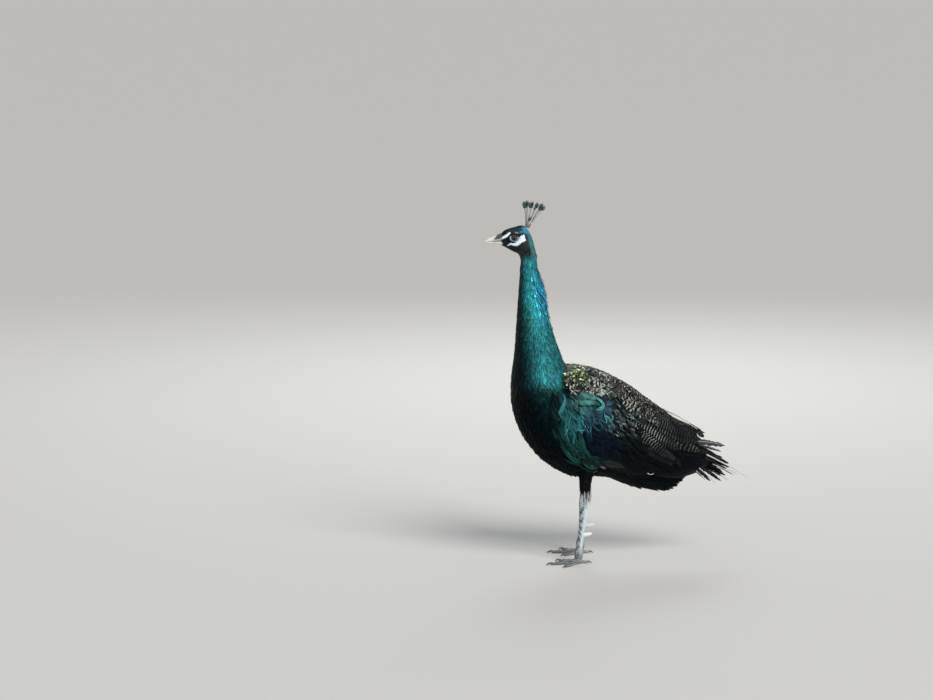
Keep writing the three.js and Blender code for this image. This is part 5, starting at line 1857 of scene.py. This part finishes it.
# The bill, in slices like the body's, and its colours.
upperBill = [
    (-184, 830.2, -186, 808.7, 9.5, 0.10, 0), (-192, 828.5, -193, 808.4, 8.9, 0.12, 0),
    (-199, 825.4, -200, 808.2, 8.0, 0.15, 0), (-207, 822.2, -207, 807.7, 7.0, 0.15, 0),
    (-214, 819.1, -214, 807.2, 6.1, 0.15, 0), (-221, 816.3, -221, 806.9, 5.0, 0.12, 0),
    (-228, 813.6, -227.5, 806, 3.8, 0.1, 0), (-233.5, 809.4, -232.5, 804.8, 2.5, 0.05, 0),
    (-236.8, 805.3, -236, 803.9, 0.9, 0, 0),
]
lowerBill = [
    (-184, 808, -184, 795, 8.6, -0.1, 0), (-192, 807.7, -191, 797, 7.8, -0.1, 0),
    (-199, 807.5, -198, 798.9, 7.0, -0.1, 0), (-207, 807, -206, 800.3, 6.0, -0.1, 0),
    (-214, 806.6, -213, 801.4, 5.0, -0.1, 0), (-223, 805.9, -222.5, 802.4, 3.6, -0.05, 0),
    (-230.5, 805.2, -230, 803.6, 1.8, 0, 0),
]
noseHollow = [
    (-215.5, 811.6), (-212.5, 815.7), (-208.5, 819.6), (-205.5, 823.4), (-196, 827.9), (-190, 828),
    (-190, 817), (-196, 815.3), (-203, 812.6), (-210, 811.4),
]
horn = {
    "root": (0.46, 0.46, 0.42), "tip": (0.72, 0.72, 0.68), "culmenHighlight": (0.76, 0.77, 0.73),
    "hollow": (0.045, 0.052, 0.048), "slot": (0.03, 0.03, 0.03), "gape": (0.30, 0.29, 0.26),
    "chin": (0.74, 0.74, 0.70), "jawShade": (0.34, 0.33, 0.30), "rows": 72, "sides": 48,
}


def upperHorn(x, y, z, v, low, colour):
    # the relief and the colour of the upper bill, with its nostril and a painted highlight along its ridge
    hollow = insideOutline(x, z, noseHollow, 1.0)
    slot = np.exp(-(((x + 204) / 3.8) ** 2 + ((z - 815.9 - 0.28 * (x + 204)) / 1.3) ** 2))
    relief = 0.35 * hill(low, 2.1, 0.9) - (0.7 * hollow + 1.2 * slot) * smooth(2, 4.5, np.abs(y))
    # the ridge is lightened with a painted highlight
    colour = mix(colour, horn["culmenHighlight"], smooth(0.6, 0.95, np.cos(v)) * smooth(-192, -206, x))
    colour = mix(colour, horn["hollow"], hollow * 0.95)
    colour = mix(colour, horn["slot"], np.clip(slot * 1.2, 0, 1))
    return relief, mix(colour, horn["gape"], smooth(1.9, 0.5, low) * smooth(-224, -212, x) * 0.8)


def lowerHorn(x, y, z, v, low, colour):
    colour = mix(colour, horn["chin"], smooth(-2.8, -4.4, low) * smooth(-190, -200, x))
    # a grey band of painted shade along the top of the lower bill, under the edge of the upper bill
    colour = mix(colour, horn["jawShade"], smooth(-3.2, -2.0, low) * smooth(-222, -210, x) * 0.8)
    return 0.3 * hill(low, -1.8, 0.8), colour


def makeBill():
    rows, sides = horn["rows"], horn["sides"]
    finish = tintedMaterial("billHorn", (300.0, 4.0, 0.5, 0.75), (700.0, 3.0, 0.25, 0.0003), 0.38)
    uu, vv = np.meshgrid(np.linspace(0, 1, rows), np.arange(sides) / sides * fullTurn, indexing="ij")
    uvs = tubeUv(np.linspace(0.02, 0.98, rows), sides, 0.02, 0.98)
    for name, table, shape in (("bill_upper", upperBill, upperHorn), ("bill_lower", lowerBill, lowerHorn)):
        p = slicePoint(table, uu, vv)
        x, y, z = p[..., 0], p[..., 1], p[..., 2]
        low = z - np.interp(x, [-236, -221, -207, -186], [803.9, 806.9, 807.7, 808.7])  # height over the gape
        colour = mix(horn["root"], horn["tip"], smooth(-196, -222, x))
        relief, colour = shape(x, y, z, vv, low, colour)
        p = p + sample(loftOf(table, 80, 48), "n", uu, vv) * relief[..., None]
        bill = meshOf(name + "_horn", [(*closedTube(p), withEnds(colour), uvs)])
        setPiece(bill, [name], finish, closed=True)


makeBill()


def makeEyes():
    # the rings of the iris are centred on the gaze
    rows, sides = 34, 40
    stops = [(0.0, (0.001, 0.001, 0.002)), (0.44, (0.001, 0.001, 0.002)), (0.50, (0.045, 0.038, 0.045)),
             (0.66, (0.085, 0.070, 0.080)), (0.80, (0.012, 0.010, 0.012)), (1.0, (0.006, 0.006, 0.008))]
    glass = rampedMaterial("eyeGlass", "ring", stops, (1400.0, 3.0, 0.05), 0.06, 0.38, bumpy=False)
    polar, around = np.linspace(0.02, math.pi - 0.02, rows), np.arange(sides) / sides * fullTurn
    aa, bb = np.meshgrid(polar, around, indexing="ij")
    radius = eye["radius"] + eye["cornea"] * smooth(0.75, 0.35, aa)
    uvs = tubeUv(np.linspace(0.02, 0.98, rows), sides, 0.02, 0.98)
    for name, side in (("eye_left", -1), ("eye_right", 1)):
        p = np.stack([np.sin(aa) * np.cos(bb), side * np.cos(aa), np.sin(aa) * np.sin(bb)], axis=-1)
        facing = np.sum(p * unit(np.array([eye["gaze"][0], side, eye["gaze"][1]])), axis=-1)
        ring = np.where(facing > 0, np.sqrt(np.clip(1 - facing**2, 0, 1)), 1.0)
        ring = np.concatenate([ring.ravel(), [np.hypot(*eye["gaze"]), 1.0]])
        centre = (eye["at"][0] + eye["set"][0], side * eye["at"][1], eye["at"][2] + eye["set"][1])
        ball = meshOf(name + "_ball", [(*closedTube(p * radius[..., None] + centre), ring, uvs)], "ring")
        setPiece(ball, [name], glass, closed=True)


makeEyes()


def makeHorn(name, tubes, material, nodes):
    # each tube has a strip of the map
    parts = []
    for index, rings in enumerate(tubes):
        rows, sides = rings.shape[:2]
        along = np.append(np.repeat(np.linspace(0, 1, rows), sides), [0, 1])
        low, high = index / len(tubes) + 0.01, (index + 1) / len(tubes) - 0.01
        parts.append((*closedTube(rings), along, tubeUv(np.linspace(0.02, 0.98, rows), sides, low, high)))
    setPiece(meshOf(name, parts, "along"), nodes, material, closed=True)


def clawStops(side, toe, ankleX):
    long, claw, end = toe["long"], toe["claw"], toe["end"]
    return [(*toePlace(side, toe, ankleX, long + out), z, radius) for out, z, radius in (
        (-3.5, end - 0.2, end * 0.62), (0.5, end + 0.9, end * 0.66), (claw * 0.35, end + 1.1, end * 0.56),
        (claw * 0.68, end - 0.4, end * 0.40), (claw * 0.9, end - 2.2, end * 0.22), (claw, 1.0, 0.35),
    )]


spur = {
    # where it stands on the shank, and its course as (back, inwards, up, radius)
    "behind": 8, "inside": 2, "share": 0.43, "course": (
        (-3, 0, 0, 6.4), (4, 0.4, 0.2, 6.2), (12, 0.9, 0.9, 5.6), (20, 1.5, 2.0, 4.2), (25, 2, 2.9, 2.4),
        (27, 2, 3.3, 0.8),
    ),
}


def makeHorns():
    grain = (500.0, 4.0, 0.5)
    clawStopsOf = [(0.0, (0.16, 0.145, 0.125)), (1.0, (0.035, 0.032, 0.03))]
    spurStopsOf = [(0.0, (0.58, 0.63, 0.65)), (1.0, (0.76, 0.79, 0.79))]
    clawHorn = rampedMaterial("clawHorn", "along", clawStopsOf, grain, 0.38)
    spurHorn = rampedMaterial("spurHorn", "along", spurStopsOf, grain, 0.42)
    for name, (side, ankleX) in legs.items():
        claws = [tubeAlong(clawStops(side, toe, ankleX), 22, 14, 0.82) for toe in toeTable]
        clawNodes = ["claw_" + name + "_" + toe["name"] for toe in toeTable]
        makeHorn("claws_" + name, claws, clawHorn, clawNodes)
        x, y = ankleX + spur["behind"], side * (legMake["spread"] - spur["inside"])
        z = legMake["ankle"] + legMake["tarsus"] * spur["share"]
        stops = [
            (x + back, y - side * inwards, z + up, radius) for back, inwards, up, radius in spur["course"]
        ]
        tubes = [tubeAlong(stops, 24, 20)]
        makeHorn("spur_" + name + "_horn", tubes, spurHorn, ["spur_" + name])


makeHorns()
print("bill, eyes, claws and spurs are made")
